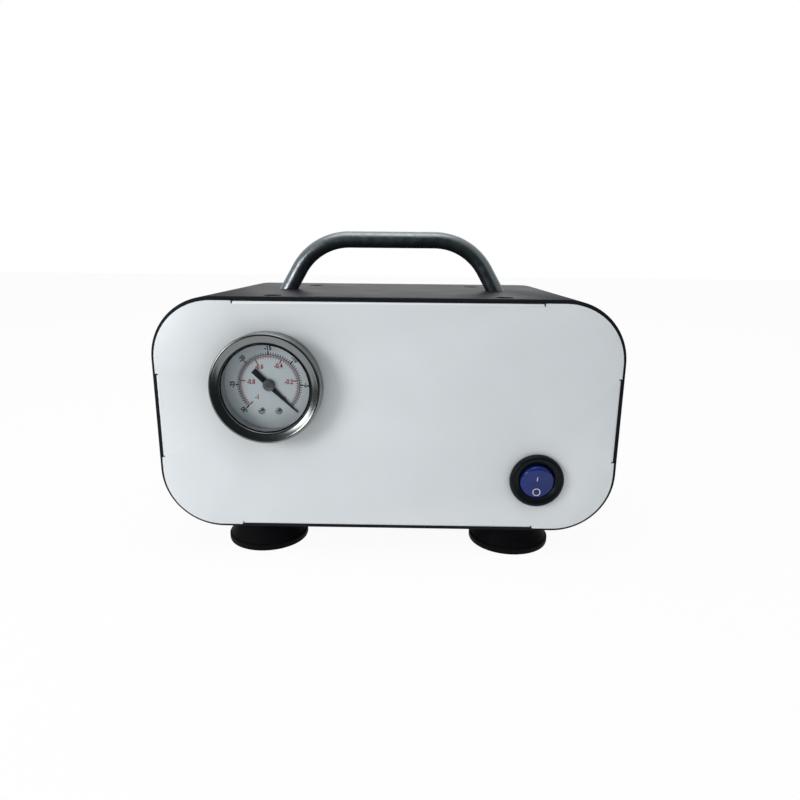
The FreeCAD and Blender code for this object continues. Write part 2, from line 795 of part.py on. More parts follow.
def handle():
    """Round bar bent twice into a low arch, with flat ends on the case's top."""
    body = new_body("Handle")
    angle = math.radians(handle_leg_angle)
    sine = math.sin(angle)
    cosine = math.cos(angle)
    bend_drop = handle_bend * (1.0 - cosine)
    bend_reach = handle_bend * sine
    straight_rise = handle_rise - bend_drop
    straight_reach = straight_rise * (cosine / sine)
    flat_half = handle_span / 2.0 - straight_reach - bend_reach
    over_reach = handle_overrun * (cosine / sine)
    start_x = handle_span / 2.0 + over_reach
    low_x = handle_span / 2.0 - straight_reach

    drawing = Outline(body, "XZ_Plane")
    path = drawing.sketch
    top = float(handle_rise)
    r = float(handle_bend)
    shapes = []

    def point(x, z):
        return Vector(float(x), float(z), 0)

    left_leg = Part.LineSegment(point(-start_x, -handle_overrun), point(-low_x, straight_rise))
    left_ring = Part.Circle(point(-flat_half, handle_rise - handle_bend), Vector(0, 0, 1), r)
    left_bend = Part.ArcOfCircle(left_ring, math.pi / 2, math.pi / 2 + angle)
    bar = Part.LineSegment(point(-flat_half, top), point(flat_half, top))
    right_ring = Part.Circle(point(flat_half, handle_rise - handle_bend), Vector(0, 0, 1), r)
    right_bend = Part.ArcOfCircle(right_ring, math.pi / 2 - angle, math.pi / 2)
    right_leg = Part.LineSegment(point(low_x, straight_rise), point(start_x, -handle_overrun))
    for shape in (left_leg, left_bend, bar, right_bend, right_leg):
        shapes.append(path.addGeometry(shape, False))
    first, second, third, fourth, fifth = shapes
    path.addConstraint(Sketcher.Constraint("Tangent", first, 2, second, 2))
    path.addConstraint(Sketcher.Constraint("Tangent", second, 1, third, 1))
    path.addConstraint(Sketcher.Constraint("Tangent", third, 2, fourth, 2))
    path.addConstraint(Sketcher.Constraint("Tangent", fourth, 1, fifth, 1))
    drawing.tie("Radius", (second,), handle_bend)
    drawing.tie("Radius", (fourth,), handle_bend)
    drawing.pin(first, 1, -start_x, -handle_overrun)
    drawing.pin(second, 3, -flat_half, handle_rise - handle_bend)
    drawing.pin(fourth, 3, flat_half, handle_rise - handle_bend)
    drawing.pin(fifth, 2, start_x, -handle_overrun)

    section = Outline(body, "XY_Plane", offset=-handle_overrun)
    lean = Rotation(Vector(0, 1, 0), 90.0 - handle_leg_angle)
    corner = Vector(-float(start_x), 0, -float(handle_overrun))
    section.sketch.AttachmentOffset = Placement(corner, lean)
    bind(section.sketch, "AttachmentOffset.Base.x", -start_x)
    section.circle(0.0, 0.0, handle_bar / 2.0)
    pipe = body.newObject("PartDesign::AdditivePipe", "BentBar")
    pipe.Profile = section.sketch
    pipe.Spine = (path, ["Edge%d" % (n + 1) for n in range(5)])

    under = Outline(body, "XY_Plane")
    under.box(-start_x - handle_bar, -handle_bar, start_x + handle_bar, handle_bar)
    pocket(body, under, handle_overrun * 2.0)
    return keep(place(body, 0.0, handle_y, case_top), "handle")


# Feet and tray


def rubber_feet():
    """Four bell-shaped rubber feet with a screw well below."""
    body = new_body("Foot")
    profile = Outline(body, "XZ_Plane")
    corners = [(0.0, foot_well_depth), (foot_well_radius, foot_well_depth), (foot_well_radius, 0.0)]
    corners += [(foot_radius, 0.0), (foot_radius, foot_rim), (foot_neck, foot_height), (0.0, foot_height)]
    profile.polygon(corners)
    turned(body, profile, "V_Axis")
    return keep(copies(body, [(x, y, 0.0) for x, y in foot_places()]), "rubber_feet")


def base_tray():
    """Flat plate on the case's floor that carries the pump."""
    body = new_body("Tray")
    blank = Outline(body, "XY_Plane")
    blank.rounded(0.0, 0.0, tray_width, tray_depth, tray_corner)
    pad(body, blank, tray_sheet)
    return keep(place(body, 0.0, tray_y, case_floor), "base_tray")


def mount_places():
    """Centres of the rubber mounts under the pump."""
    spots = []
    for side in (-1, 1):
        for end in (-1, 1):
            spots.append((side * mount_span_x / 2.0, shaft_y + end * mount_span_y / 2.0))
    return spots


def vibration_mounts():
    """Round rubber buffers between the tray and the pump's feet."""
    mounts = [rod_along("z", x, y, tray_top, mount_radius, mount_height) for x, y in mount_places()]
    return keep(group(mounts), "vibration_mounts")


# Vacuum gauge, with the front face as its own zero level


def gauge_bezel():
    """Polished steel ring rolled over the gauge's glass."""
    body = new_body("GaugeBezel")
    outer = gauge_bezel_radius
    inner = gauge_can_radius + seat_gap
    lip_back = gauge_lip - gauge_bezel_proud
    front = -gauge_bezel_proud
    profile = Outline(body, "XY_Plane")
    corners = [(inner, 0.0), (outer, 0.0), (outer, front + gauge_bezel_roll)]
    for step in range(1, bezel_roll_steps + 1):
        swing = math.pi / 2.0 * step / bezel_roll_steps
        across = outer - gauge_bezel_roll * (1.0 - math.cos(swing))
        corners.append((across, front + gauge_bezel_roll * (1.0 - math.sin(swing))))
    corners.append((gauge_opening, front + bezel_dish))
    corners += [(gauge_opening, lip_back), (inner, lip_back)]
    profile.polygon(corners)
    turned(body, profile, "V_Axis")
    return keep(place(body, gauge_x, front_face, gauge_z), "gauge_bezel")


def gauge_window():
    """Flat glass behind the bezel's lip."""
    start = front_face - gauge_bezel_proud + gauge_lip
    glass = rod_along("y", gauge_x, start, gauge_z, gauge_can_radius - seat_gap, gauge_glass)
    return keep(glass, "gauge_window")


def gauge_can():
    """Round can with two studs at its back."""
    body = new_body("GaugeCan")
    start = gauge_lip + gauge_glass - gauge_bezel_proud
    inner = gauge_can_radius - gauge_can_wall
    profile = Outline(body, "XY_Plane")
    corners = [(0.0, gauge_can_depth), (0.0, gauge_can_depth - gauge_can_wall)]
    corners += [(inner, gauge_can_depth - gauge_can_wall), (inner, start)]
    corners += [(gauge_can_radius, start), (gauge_can_radius, gauge_can_depth)]
    profile.polygon(corners)
    turned(body, profile, "V_Axis")
    studs = Outline(body, "XZ_Plane", offset=-gauge_can_depth)
    for side in (-1, 1):
        studs.circle(side * stud_x, 0.0, stud_radius)
    pad(body, studs, stud_length, reverse=True)
    port = Outline(body, "XZ_Plane", offset=-gauge_can_depth)
    port.circle(0.0, -gauge_port_drop, gauge_port_radius + seat_gap)
    pocket(body, port, gauge_can_wall * 4.0, both=True)
    return keep(place(body, gauge_x, front_face, gauge_z), "gauge_can")


def gauge_dial():
    """Thin round dial with a hole for the arbor."""
    body = new_body("Dial")
    disc = Outline(body, "XZ_Plane")
    disc.circle(0.0, 0.0, gauge_can_radius - gauge_can_wall - seat_gap)
    disc.circle(0.0, 0.0, arbor_radius + fit_gap)
    pad(body, disc, dial_sheet, reverse=True)
    return keep(place(body, gauge_x, front_face + dial_depth, gauge_z), "gauge_dial")


def gauge_pointer():
    """Pointer with a long thin blade, a broad tail and its arbor, aimed at zero."""
    body = new_body("Pointer")
    half_tail = pointer_tail_width / 2.0
    half_blade = pointer_blade_width / 2.0
    neck = -pointer_tail * pointer_neck_share
    blade = Outline(body, "XZ_Plane")
    corners = [(pointer_reach, pointer_tip), (0.0, half_blade), (neck, half_blade), (neck, half_tail)]
    corners += [(-pointer_tail, half_tail), (-pointer_tail, -half_tail), (neck, -half_tail)]
    corners += [(neck, -half_blade), (0.0, -half_blade), (pointer_reach, -pointer_tip)]
    blade.polygon(corners)
    pad(body, blade, pointer_sheet, reverse=True)
    hub = Outline(body, "XZ_Plane", offset=pointer_hub_rise)
    hub.circle(0.0, 0.0, pointer_hub)
    pad(body, hub, pointer_hub_rise + pointer_sheet, reverse=True)
    arbor = Outline(body, "XZ_Plane")
    arbor.circle(0.0, 0.0, arbor_radius)
    pad(body, arbor, pointer_lift + movement_end - dial_depth - fit_gap, reverse=True)
    aim = Rotation(Vector(0, 1, 0), pointer_zero_angle)
    front = front_face + dial_depth - pointer_lift
    return keep(place(body, gauge_x, front, gauge_z, aim), "gauge_pointer")


def gauge_movement():
    """Two brass plates on pillars that carry the arbor, standing on the socket."""
    plates = []
    for depth, width in ((movement_depth, movement_radius), (movement_end - movement_sheet, arbor_radius * 4.0)):
        plate = rod_along("y", gauge_x, front_face + depth, gauge_z, movement_radius, movement_sheet)
        tongue = block(gauge_x, front_face + depth + movement_sheet / 2.0,
                       gauge_z - movement_foot_drop, width, movement_sheet, movement_radius)
        plates += [plate, tongue]
    for side in (-1, 1):
        plates.append(rod_along("y", gauge_x + side * pillar_x, front_face + movement_depth,
                                gauge_z + pillar_rise, pillar_radius, movement_end - movement_depth))
    hole = rod_along("y", gauge_x, front_face, gauge_z, arbor_radius + running_gap, gauge_can_depth)
    return keep(cut(fused(plates), hole), "gauge_movement")


def gauge_socket():
    """Brass block at the foot of the tube, its stem through the can and an elbow outside."""
    z = gauge_z - gauge_port_drop
    start = front_face + movement_end + fit_gap
    stem_end = front_face + gauge_can_depth + stud_length
    foot = block(gauge_x, start + socket_foot_sheet / 2.0, z - socket_foot_drop, socket_foot_width,
                 socket_foot_sheet, socket_foot_drop + gauge_port_radius)
    stem = rod_along("y", gauge_x, start, z, gauge_port_radius, stem_end - start)
    elbow = block(gauge_x, elbow_y, z - elbow_side / 2.0, elbow_side, elbow_side, elbow_side)
    barb = rod_along("x", gauge_x, elbow_y, z, barb_radius, elbow_side / 2.0 + barb_length)
    whole = fused([foot, stem, elbow, barb])
    along = rod_along("x", gauge_x, elbow_y, z, barb_bore, elbow_side + barb_length)
    back = rod_along("y", gauge_x, start + socket_foot_sheet, z, barb_bore,
                     elbow_y - start - socket_foot_sheet)
    return keep(cut(whole, fused([along, back])), "gauge_socket")


def gauge_tube():
    """Flattened pressure tube bent into a C round the movement, with its root on the socket."""
    start = front_face + tube_depth
    ring = cut(rod_along("y", gauge_x, start, gauge_z, tube_outer, tube_width),
               rod_along("y", gauge_x, start, gauge_z, tube_outer - tube_sheet, tube_width))
    gap = block(gauge_x - tube_outer / 2.0, start + tube_width / 2.0, gauge_z - tube_outer,
                tube_outer, tube_width, tube_outer)
    root = block(gauge_x + socket_foot_width / 3.0, start + (movement_end + fit_gap - tube_depth) / 2.0,
                 gauge_z - tube_outer, socket_foot_width / 4.0, movement_end + fit_gap - tube_depth,
                 tube_sheet * 1.5)
    return keep(fused([cut(ring, gap), root]), "gauge_tube")


def gauge_clamp():
    """Bent strap and two nuts behind the panel that pull the bezel against it."""
    half = gauge_can_radius + clamp_side_gap + clamp_sheet
    back = gauge_can_depth + fit_gap
    low = gauge_z - clamp_width / 2.0
    bar = block(gauge_x, front_face + back + clamp_sheet / 2.0, low, 2.0 * half, clamp_sheet, clamp_width)
    legs = []
    for side in (-1, 1):
        leg_y = (panel_sheet + back + clamp_sheet) / 2.0
        legs.append(block(gauge_x + side * (half - clamp_sheet / 2.0), front_face + leg_y, low,
                          clamp_sheet, back + clamp_sheet - panel_sheet, clamp_width))
    start = front_face + back
    holes = [rod_along("y", gauge_x + side * stud_x, start, gauge_z, stud_radius + fit_gap, clamp_sheet)
             for side in (-1, 1)]
    holes.append(rod_along("y", gauge_x, start, gauge_z - gauge_port_drop,
                           gauge_port_radius + fit_gap, clamp_sheet))
    strap = cut(fused([bar] + legs), fused(holes))
    nuts = []
    for side in (-1, 1):
        x = gauge_x + side * stud_x
        nut = hexagon("y", x, start + clamp_sheet, gauge_z, clamp_nut_radius, clamp_nut_height)
        hole = rod_along("y", x, start + clamp_sheet, gauge_z, stud_radius + seat_gap, clamp_nut_height)
        nuts.append(cut(nut, hole))
    return keep(group([strap] + nuts), "gauge_clamp")


# Rocker switch


def switch_housing():
    """Round housing with a sloping bezel, a well for the rocker and its two pivots."""
    body = new_body("SwitchHousing")
    proud = -switch_bezel_proud
    profile = Outline(body, "XY_Plane")
    corners = [(0.0, switch_barrel_depth), (0.0, rocker_well), (switch_opening, rocker_well)]
    corners += [(switch_opening, proud + bezel_slope), (bezel_crest, proud)]
    corners += [(switch_bezel_radius, proud + bezel_edge), (switch_bezel_radius, 0.0)]
    corners += [(switch_barrel_radius, 0.0), (switch_barrel_radius, switch_barrel_depth)]
    profile.polygon(corners)
    turned(body, profile, "V_Axis")
    pins = Outline(body, "YZ_Plane", offset=-switch_opening - fit_gap)
    pins.circle(rocker_pivot_depth, 0.0, rocker_pin)
    pad(body, pins, switch_opening * 2.0 + fit_gap * 2.0)
    return keep(place(body, switch_x, front_face, switch_z), "switch_housing")


def switch_rocker():
    """Round rocker whose two faces rise from the middle to the ends, pressed in at the bottom."""
    y = front_face + rocker_pivot_depth
    reach = rocker_radius + fit_gap
    crest = -rocker_rise - rocker_pivot_depth
    climb = reach * math.tan(math.radians(rocker_half_angle))
    side = new_body("RockerSide")
    outline = Outline(side, "YZ_Plane")
    outline.polygon([(rocker_skirt, -reach), (rocker_skirt, reach), (crest - climb, reach),
                     (crest, 0.0), (crest - climb, -reach)])
    pad(side, outline, reach * 3.0, both=True)
    place(side, switch_x, y, switch_z)
    drum = rod_along("y", switch_x, y - rocker_radius, switch_z, rocker_radius, rocker_radius * 2.0)
    bore = rod_along("x", switch_x - rocker_radius * 2.0, y, switch_z,
                     rocker_pin + running_gap, rocker_radius * 4.0)
    body = cut(common(drum, side), bore)
    pressed = Rotation(Vector(1, 0, 0), rocker_half_angle)
    pivot = Vector(float(switch_x), float(y), float(switch_z))
    body.Placement = Placement(pivot, pressed).multiply(Placement(-pivot, Rotation()))
    return keep(body, "switch_rocker")


def switch_terminals():
    """Brass tabs at the back of the switch."""
    tabs = []
    for side in (-1, 0, 1):
        tabs.append(block(switch_x, front_face + switch_barrel_depth + tab_length / 2.0,
                          switch_z + side * tab_pitch - tab_sheet / 2.0, tab_width, tab_length, tab_sheet))
    return keep(group(tabs), "switch_terminals")


# Mains inlet


def inlet_socket():
    """Moulded inlet with a recess for the plug and a slot for the fuse drawer."""
    flange = new_body("InletFlange")
    face = Outline(flange, "XZ_Plane")
    face.rounded(0.0, 0.0, inlet_flange_width, inlet_flange_height, inlet_corner)
    pad(flange, face, inlet_flange_sheet, reverse=True)
    place(flange, inlet_x, rear_face, inlet_z)
    body_y = rear_face - inlet_body_depth / 2.0 + inlet_flange_sheet / 2.0
    shell = block(inlet_x, body_y, inlet_z - inlet_body_height / 2.0, inlet_body_width,
                  inlet_body_depth + inlet_flange_sheet, inlet_body_height)
    recess = new_body("InletRecess")
    outline = Outline(recess, "XZ_Plane")
    half_x = inlet_recess_width / 2.0
    half_z = inlet_recess_height / 2.0
    bevel = inlet_recess_bevel
    outline.polygon([(-half_x, -half_z + bevel), (-half_x + bevel, -half_z), (half_x, -half_z),
                     (half_x, half_z), (-half_x + bevel, half_z), (-half_x, half_z - bevel)])
    pad(recess, outline, inlet_recess_depth + fit_gap, reverse=True)
    place(recess, recess_x, inlet_face - inlet_recess_depth, inlet_z)
    slot_deep = drawer_depth + fit_gap * 2.0
    slot = block(drawer_x, inlet_face + fit_gap - slot_deep / 2.0, inlet_z - drawer_height / 2.0 - fit_gap,
                 drawer_width + 2.0 * fit_gap, slot_deep, drawer_height + 2.0 * fit_gap)
    holes = [rod_along("y", x, inlet_face - inlet_body_depth * 2.0, z, inlet_pin_radius + seat_gap,
                       inlet_body_depth * 2.0) for x, z in inlet_pin_spots()]
    whole = cut(fused([flange, shell]), fused([recess, slot] + holes))
    return keep(whole, "inlet_socket")


def inlet_pin_spots():
    """Places of the live, neutral and earth pins."""
    spots = [(recess_x + inlet_pin_x, inlet_z + side * inlet_pin_rise) for side in (-1, 1)]
    return spots + [(recess_x - inlet_pin_x, inlet_z)]


def inlet_pins():
    """Three pins through the floor of the inlet."""
    back = rear_face - inlet_body_depth - tab_length
    pins = [rod_along("y", x, back, z, inlet_pin_radius, inlet_face - inlet_pin_inset - back)
            for x, z in inlet_pin_spots()]
    return keep(group(pins), "inlet_pins")


def fuse_drawer():
    """Small drawer with a finger lip that holds the fuse."""
    width = drawer_width - fit_gap
    tall = drawer_height - fit_gap
    low = inlet_z - tall / 2.0
    front = block(drawer_x, inlet_face + drawer_front / 2.0, low, width, drawer_front, tall)
    tray = block(drawer_x, inlet_face - drawer_depth / 2.0, low, width, drawer_depth, tall)
    lip = block(drawer_x - drawer_width / 4.0, inlet_face + drawer_front + drawer_lip / 2.0,
                inlet_z - drawer_lip_height / 2.0, drawer_lip * 1.5, drawer_lip, drawer_lip_height)
    cradle = rod_along("z", drawer_x, fuse_y, inlet_z - fuse_length / 2.0 - seat_gap,
                       fuse_radius + seat_gap, fuse_length + 2.0 * seat_gap)
    window = block(drawer_x, inlet_face - drawer_depth / 3.0, inlet_z - fuse_length / 2.0,
                   width * 2.0, drawer_depth / 3.0, fuse_length)
    return keep(cut(fused([front, tray, lip]), fused([cradle, window])), "fuse_drawer")


def fuse():
    """Glass fuse that lies in the drawer."""
    bar = rod_along("z", drawer_x, fuse_y, inlet_z - fuse_length / 2.0, fuse_radius, fuse_length)
    return keep(bar, "fuse")


# Ports at the rear


def bulkhead(name, x, outside, bore_out):
    """Turned fitting through the rear panel, with a hose barb inside the case."""
    body = new_body(name)
    inner_end = -panel_sheet - bulkhead_inner
    barb_end = inner_end - barb_length
    profile = Outline(body, "XY_Plane")
    corners = [(barb_bore, barb_end), (barb_radius, barb_end), (barb_radius, inner_end)]
    corners += [(port_radius, inner_end), (port_radius, 0.0)] + outside
    corners += [(bore_out, outside[-1][1]), (bore_out, 0.0), (barb_bore, 0.0)]
    profile.polygon(corners)
    turned(body, profile, "V_Axis")
    place(body, x, rear_face, port_z)
    return body


def suction_fitting():
    """Suction port: plain hose nozzle outside, with a barb and a side barb inside."""
    outside = [(nozzle_radius, 0.0), (nozzle_radius, nozzle_out - nozzle_bevel)]
    outside += [(nozzle_radius - nozzle_bevel, nozzle_out)]
    x = -port_span / 2.0
    turned_part = bulkhead("SuctionFitting", x, outside, nozzle_bore)
    hexed = cut(hexagon("y", x, rear_face, port_z, port_hex_radius, port_hex_height),
                rod_along("y", x, rear_face, port_z, nozzle_bore, port_hex_height))
    side_reach = port_radius + barb_length
    side_barb = cut(rod_along("x", x + barb_radius, tee_y, port_z, barb_radius, side_reach - barb_radius),
                    rod_along("x", x, tee_y, port_z, barb_bore, side_reach))
    return keep(fused([turned_part, hexed, side_barb]), "suction_fitting")


def exhaust_silencer():
    """Silencer on the exhaust port, with a hose barb inside."""
    r = silencer_radius
    outside = [(nozzle_radius, 0.0), (nozzle_radius, port_hex_height), (r, port_hex_height)]
    outside += [(r, nozzle_out - silencer_bevel), (r - silencer_bevel, nozzle_out)]
    turned_part = bulkhead("Silencer", port_span / 2.0, outside, nozzle_bore)
    hexed = cut(hexagon("y", port_span / 2.0, rear_face, port_z, port_hex_radius, port_hex_height),
                rod_along("y", port_span / 2.0, rear_face, port_z, nozzle_bore, port_hex_height))
    return keep(fused([turned_part, hexed]), "exhaust_silencer")


def port_nuts():
    """Nuts behind the rear panel on both ports."""
    nuts = []
    start = rear_face - panel_sheet - port_nut_height
    for side in (-1, 1):
        x = side * port_span / 2.0
        nut = hexagon("y", x, start, port_z, port_hex_radius, port_nut_height)
        nuts.append(cut(nut, rod_along("y", x, start, port_z, port_radius + seat_gap, port_nut_height)))
    return keep(group(nuts), "port_nuts")


# Hoses inside the case


def straight_hose(axis, x, y, z, length):
    """Short hose over two barbs."""
    skin = rod_along(axis, x, y, z, hose_radius, length)
    hollow = rod_along(axis, x, y, z, barb_radius + seat_gap, length)
    return cut(skin, hollow)


def pump_hoses():
    """Straight hoses from each head to its port, and from one head to the other."""
    head_back = shaft_y + head_side / 2.0
    run = port_inner_y - head_back - 2.0 * fit_gap
    hoses = [straight_hose("y", side * head_x, head_back + fit_gap, port_z, run) for side in (-1, 1)]
    inner_side = head_x - head_side / 2.0 - fit_gap
    hoses.append(straight_hose("x", -inner_side, shaft_y - valve_offset, port_z, inner_side * 2.0))
    return keep(group(hoses), "pump_hoses")


def gauge_hose():
    """Hose from the suction tee, forward over the motor, to the gauge."""
    low = gauge_z - gauge_port_drop
    points = [(-port_span / 2.0 + port_radius + fit_gap, tee_y, port_z), (hose_lane, tee_y, port_z)]
    points += [(hose_lane, elbow_y, port_z - hose_fall), (hose_lane, elbow_y, low)]
    points += [(gauge_x + elbow_side / 2.0 + fit_gap, elbow_y, low)]
    route = [Vector(float(x), float(y), float(z)) for x, y, z in points]
    disc = Part.Face(Part.Wire(Part.makeCircle(float(hose_radius), route[0], route[1] - route[0])))
    skin = doc.addObject("Part::Feature", "HoseSkin")
    skin.Shape = smooth_path(route, float(hose_bend)).makePipe(disc)
    ends = (points[0], points[-1])
    bores = [rod_along("x", x, y, z, barb_radius + seat_gap, barb_length) for x, y, z in ends]
    return keep(cut(skin, fused(bores)), "gauge_hose")


def smooth_path(route, radius):
    """Straight runs joined by arcs of one radius."""
    edges = []
    last = route[0]
    for before, corner, after in zip(route, route[1:], route[2:]):
        back = (before - corner).normalize()
        ahead = (after - corner).normalize()
        half_turn = (math.pi - back.getAngle(ahead)) / 2.0
        trim = radius * math.tan(half_turn)
        first = corner + back * trim
        second = corner + ahead * trim
        toward = (back + ahead).normalize()
        middle = corner + toward * (radius / math.cos(half_turn) - radius)
        edges.append(Part.LineSegment(last, first).toShape())
        edges.append(Part.Arc(first, middle, second).toShape())
        last = second
    edges.append(Part.LineSegment(last, route[-1]).toShape())
    return Part.Wire(edges)


# Motor


def motor_stator():
    """Laminated core with its winding slots."""
    body = new_body("Stator")
    ring = Outline(body, "YZ_Plane")
    ring.circle(0.0, 0.0, stator_radius)
    ring.circle(0.0, 0.0, stator_bore)
    pad(body, ring, stator_length, both=True)
    slot = Outline(body, "YZ_Plane")
    half = winding_slot / 2.0
    slot.box(-half, winding_inner + half, half, winding_outer - half)
    notch = pocket(body, slot, stator_length * 2.0, both=True)
    polar(body, notch, "X_Axis", winding_slots)
    return keep(place(body, 0.0, shaft_y, shaft_z), "motor_stator")


def motor_windings():
    """End turns of the windings at both ends of the core."""
    rings = []
    for side in (-1, 1):
        start = side * (stator_length / 2.0 + winding_length / 2.0) - winding_length / 2.0
        ring = rod_along("x", start, shaft_y, shaft_z, winding_outer, winding_length)
        rings.append(cut(ring, rod_along("x", start, shaft_y, shaft_z, winding_inner, winding_length)))
    return keep(group(rings), "motor_windings")


def motor_shaft():
    """Shaft through both bearings, out to the cranks and the fan."""
    left = -(head_x + rod_bearing_width / 2.0 + crank_shoulder + shaft_tail)
    right = fan_start + fan_width + shaft_tail
    bar = rod_along("x", left, shaft_y, shaft_z, shaft_radius, right - left)
    return keep(bar, "motor_shaft")


def rotor_core():
    """Laminated rotor pressed on the shaft."""
    core = rod_along("x", -stator_length / 2.0, shaft_y, shaft_z, stator_bore - rotor_gap, stator_length)
    hole = rod_along("x", -stator_length, shaft_y, shaft_z, shaft_radius, stator_length * 2.0)
    return keep(cut(core, hole), "rotor_core")


def main_bearings():
    """Ball bearings of the motor, one in each crankcase."""
    rings = []
    for side in (-1, 1):
        start = side * (bearing_x + main_bearing_width / 2.0) - main_bearing_width / 2.0
        ring = rod_along("x", start, shaft_y, shaft_z, main_bearing_radius, main_bearing_width)
        hole = rod_along("x", start, shaft_y, shaft_z, shaft_radius + running_gap, main_bearing_width)
        rings.append(cut(ring, hole))
    return keep(group(rings), "main_bearings")


# Crankcases


def crankcase(node, side):
    """Cast end bell of the motor in one piece with the crank chamber and the diaphragm seat."""
    body = new_body("Crankcase")
    bell_start = stator_length / 2.0
    web_start = bell_start + bell_length - bell_wall
    web_end = bell_start + bell_length
    hub = main_bearing_radius + bell_wall
    bell_in = stator_radius - bell_wall
    profile = Outline(body, "XY_Plane")
    corners = [(bell_start, bell_in), (bell_start, stator_radius), (web_end, stator_radius)]
    bore = main_bearing_radius + seat_gap
    corners += [(web_end, bore), (bearing_x, bore), (bearing_x, hub), (web_start, hub), (web_start, bell_in)]
    profile.polygon(corners)
    turned(body, profile, "H_Axis")

    half_deep = crank_block_depth / 2.0
    chamber = Outline(body, "YZ_Plane", offset=web_end)
    chamber.box(-half_deep, -seat_rise, half_deep, seat_rise)
    pad(body, chamber, crank_block_end - web_end)
    seat = Outline(body, "XY_Plane", offset=seat_rise)
    seat.rounded(head_x, 0.0, head_side, head_side, seat_sheet)
    pad(body, seat, seat_sheet, reverse=True)
    foot = Outline(body, "XY_Plane", offset=-(seat_rise + pump_foot_sheet))
    foot.rounded(foot_plate_x, 0.0, foot_plate_width, mount_span_y + mount_radius * 2.0, bell_wall)
    pad(body, foot, pump_foot_sheet)

    inner = half_deep - crank_block_wall
    low = seat_rise - crank_block_wall * 2.0
    room = Outline(body, "YZ_Plane", offset=web_end + crank_block_wall)
    room.box(-inner, -low, inner, low)
    pocket(body, room, crank_block_end, reverse=True)
    cavity = Outline(body, "XY_Plane", offset=seat_rise)
    cavity.circle(head_x, 0.0, work_radius)
    pocket(body, cavity, seat_sheet * 2.0)
    passage = Outline(body, "YZ_Plane", offset=web_start)
    passage.circle(0.0, 0.0, main_bearing_radius + seat_gap)
    pocket(body, passage, crank_block_end, reverse=True)
    turn = Rotation() if side > 0 else TURN_ABOUT
    return keep(place(body, 0.0, shaft_y, shaft_z, turn), node)


def eccentric(node, side):
    """Crank on the shaft: an off-centre pin for the rod and a weight opposite to it."""
    up = -side
    pin_z = shaft_z + crank_throw * up
    pin_width = rod_bearing_width + 2.0 * crank_shoulder
    pin_middle = side * head_x
    weight_middle = side * (head_x - (pin_width + weight_width) / 2.0)
    weight_x = weight_middle - weight_width / 2.0
    pin = rod_along("x", pin_middle - pin_width / 2.0, shaft_y, pin_z, crank_pin_radius, pin_width)
    collar = rod_along("x", weight_x, shaft_y, shaft_z, crank_pin_radius + 2.0 * crank_shoulder, weight_width)
    weight = rod_along("x", weight_x, shaft_y, shaft_z, counterweight_radius, weight_width)
    half = counterweight_radius * 2.0
    away = block(weight_middle, shaft_y, shaft_z - (half if up > 0 else 0.0), weight_width * 2.0, half, half)
    whole = fused([pin, collar, common(weight, away)])
    hole = rod_along("x", pin_middle - half, shaft_y, shaft_z, shaft_radius, half * 2.0)
    return keep(cut(whole, hole), node)


def rod_bearing(node, side):
    """Ball bearing between the crank pin and the rod."""
    z = shaft_z - side * crank_throw
    start = side * head_x - rod_bearing_width / 2.0
    ring = rod_along("x", start, shaft_y, z, rod_bearing_radius, rod_bearing_width)
    hole = rod_along("x", start, shaft_y, z, crank_pin_radius + running_gap, rod_bearing_width)
    return keep(cut(ring, hole), node)


def connecting_rod(node, side):
    """Rod with an eye round the bearing, a waisted arm and a disc under the diaphragm."""
    body = new_body("Rod")
    thick = rod_bearing_width + crank_shoulder
    eye = Outline(body, "YZ_Plane")
    eye.circle(0.0, 0.0, rod_eye_radius)
    pad(body, eye, thick, both=True)
    arm = Outline(body, "YZ_Plane")
    half = rod_width / 2.0
    arm.box(-half, 0.0, half, rod_disc_low + rod_disc_sheet / 2.0)
    pad(body, arm, thick, both=True)
    disc = Outline(body, "XY_Plane", offset=rod_disc_low)
    disc.circle(0.0, 0.0, rod_disc_radius)
    pad(body, disc, rod_disc_sheet)
    stem = Outline(body, "XY_Plane", offset=rod_disc_low)
    stem.circle(0.0, 0.0, rod_stem_radius)
    pad(body, stem, clamp_low - rod_disc_low)
    bore = Outline(body, "YZ_Plane")
    bore.circle(0.0, 0.0, rod_bearing_radius)
    pocket(body, bore, rod_bearing_width * 2.0, both=True)
    return keep(place(body, side * head_x, shaft_y, shaft_z - side * crank_throw), node)


def clamp_disc(node, side):
    """Upper disc that clamps the diaphragm to the rod."""
    z = shaft_z - side * crank_throw + clamp_low
    disc = cone_along("z", side * head_x, shaft_y, z, clamp_disc_radius,
                      clamp_disc_radius - clamp_disc_sheet / 2.0, clamp_disc_sheet)
    return keep(disc, node)


# Diaphragms, valves and heads


def diaphragm(node, side):
    """Round rubber sheet, thin over the chamber and thick at its clamped edge."""
    body = new_body("Diaphragm")
    hole = rod_stem_radius + crank_throw + fit_gap
    thin = diaphragm_sheet / 2.0
    rise = diaphragm_sheet / 4.0
    profile = Outline(body, "XZ_Plane")
    corners = [(hole, rise), (work_radius, rise), (work_radius, 0.0)]
    corners += [(work_radius + diaphragm_rim, 0.0), (work_radius + diaphragm_rim, diaphragm_sheet)]
    corners += [(work_radius, diaphragm_sheet), (work_radius, rise + thin), (hole, rise + thin)]
    profile.polygon(corners)
    turned(body, profile, "V_Axis")
    return keep(place(body, side * head_x, shaft_y, seat_z), node)


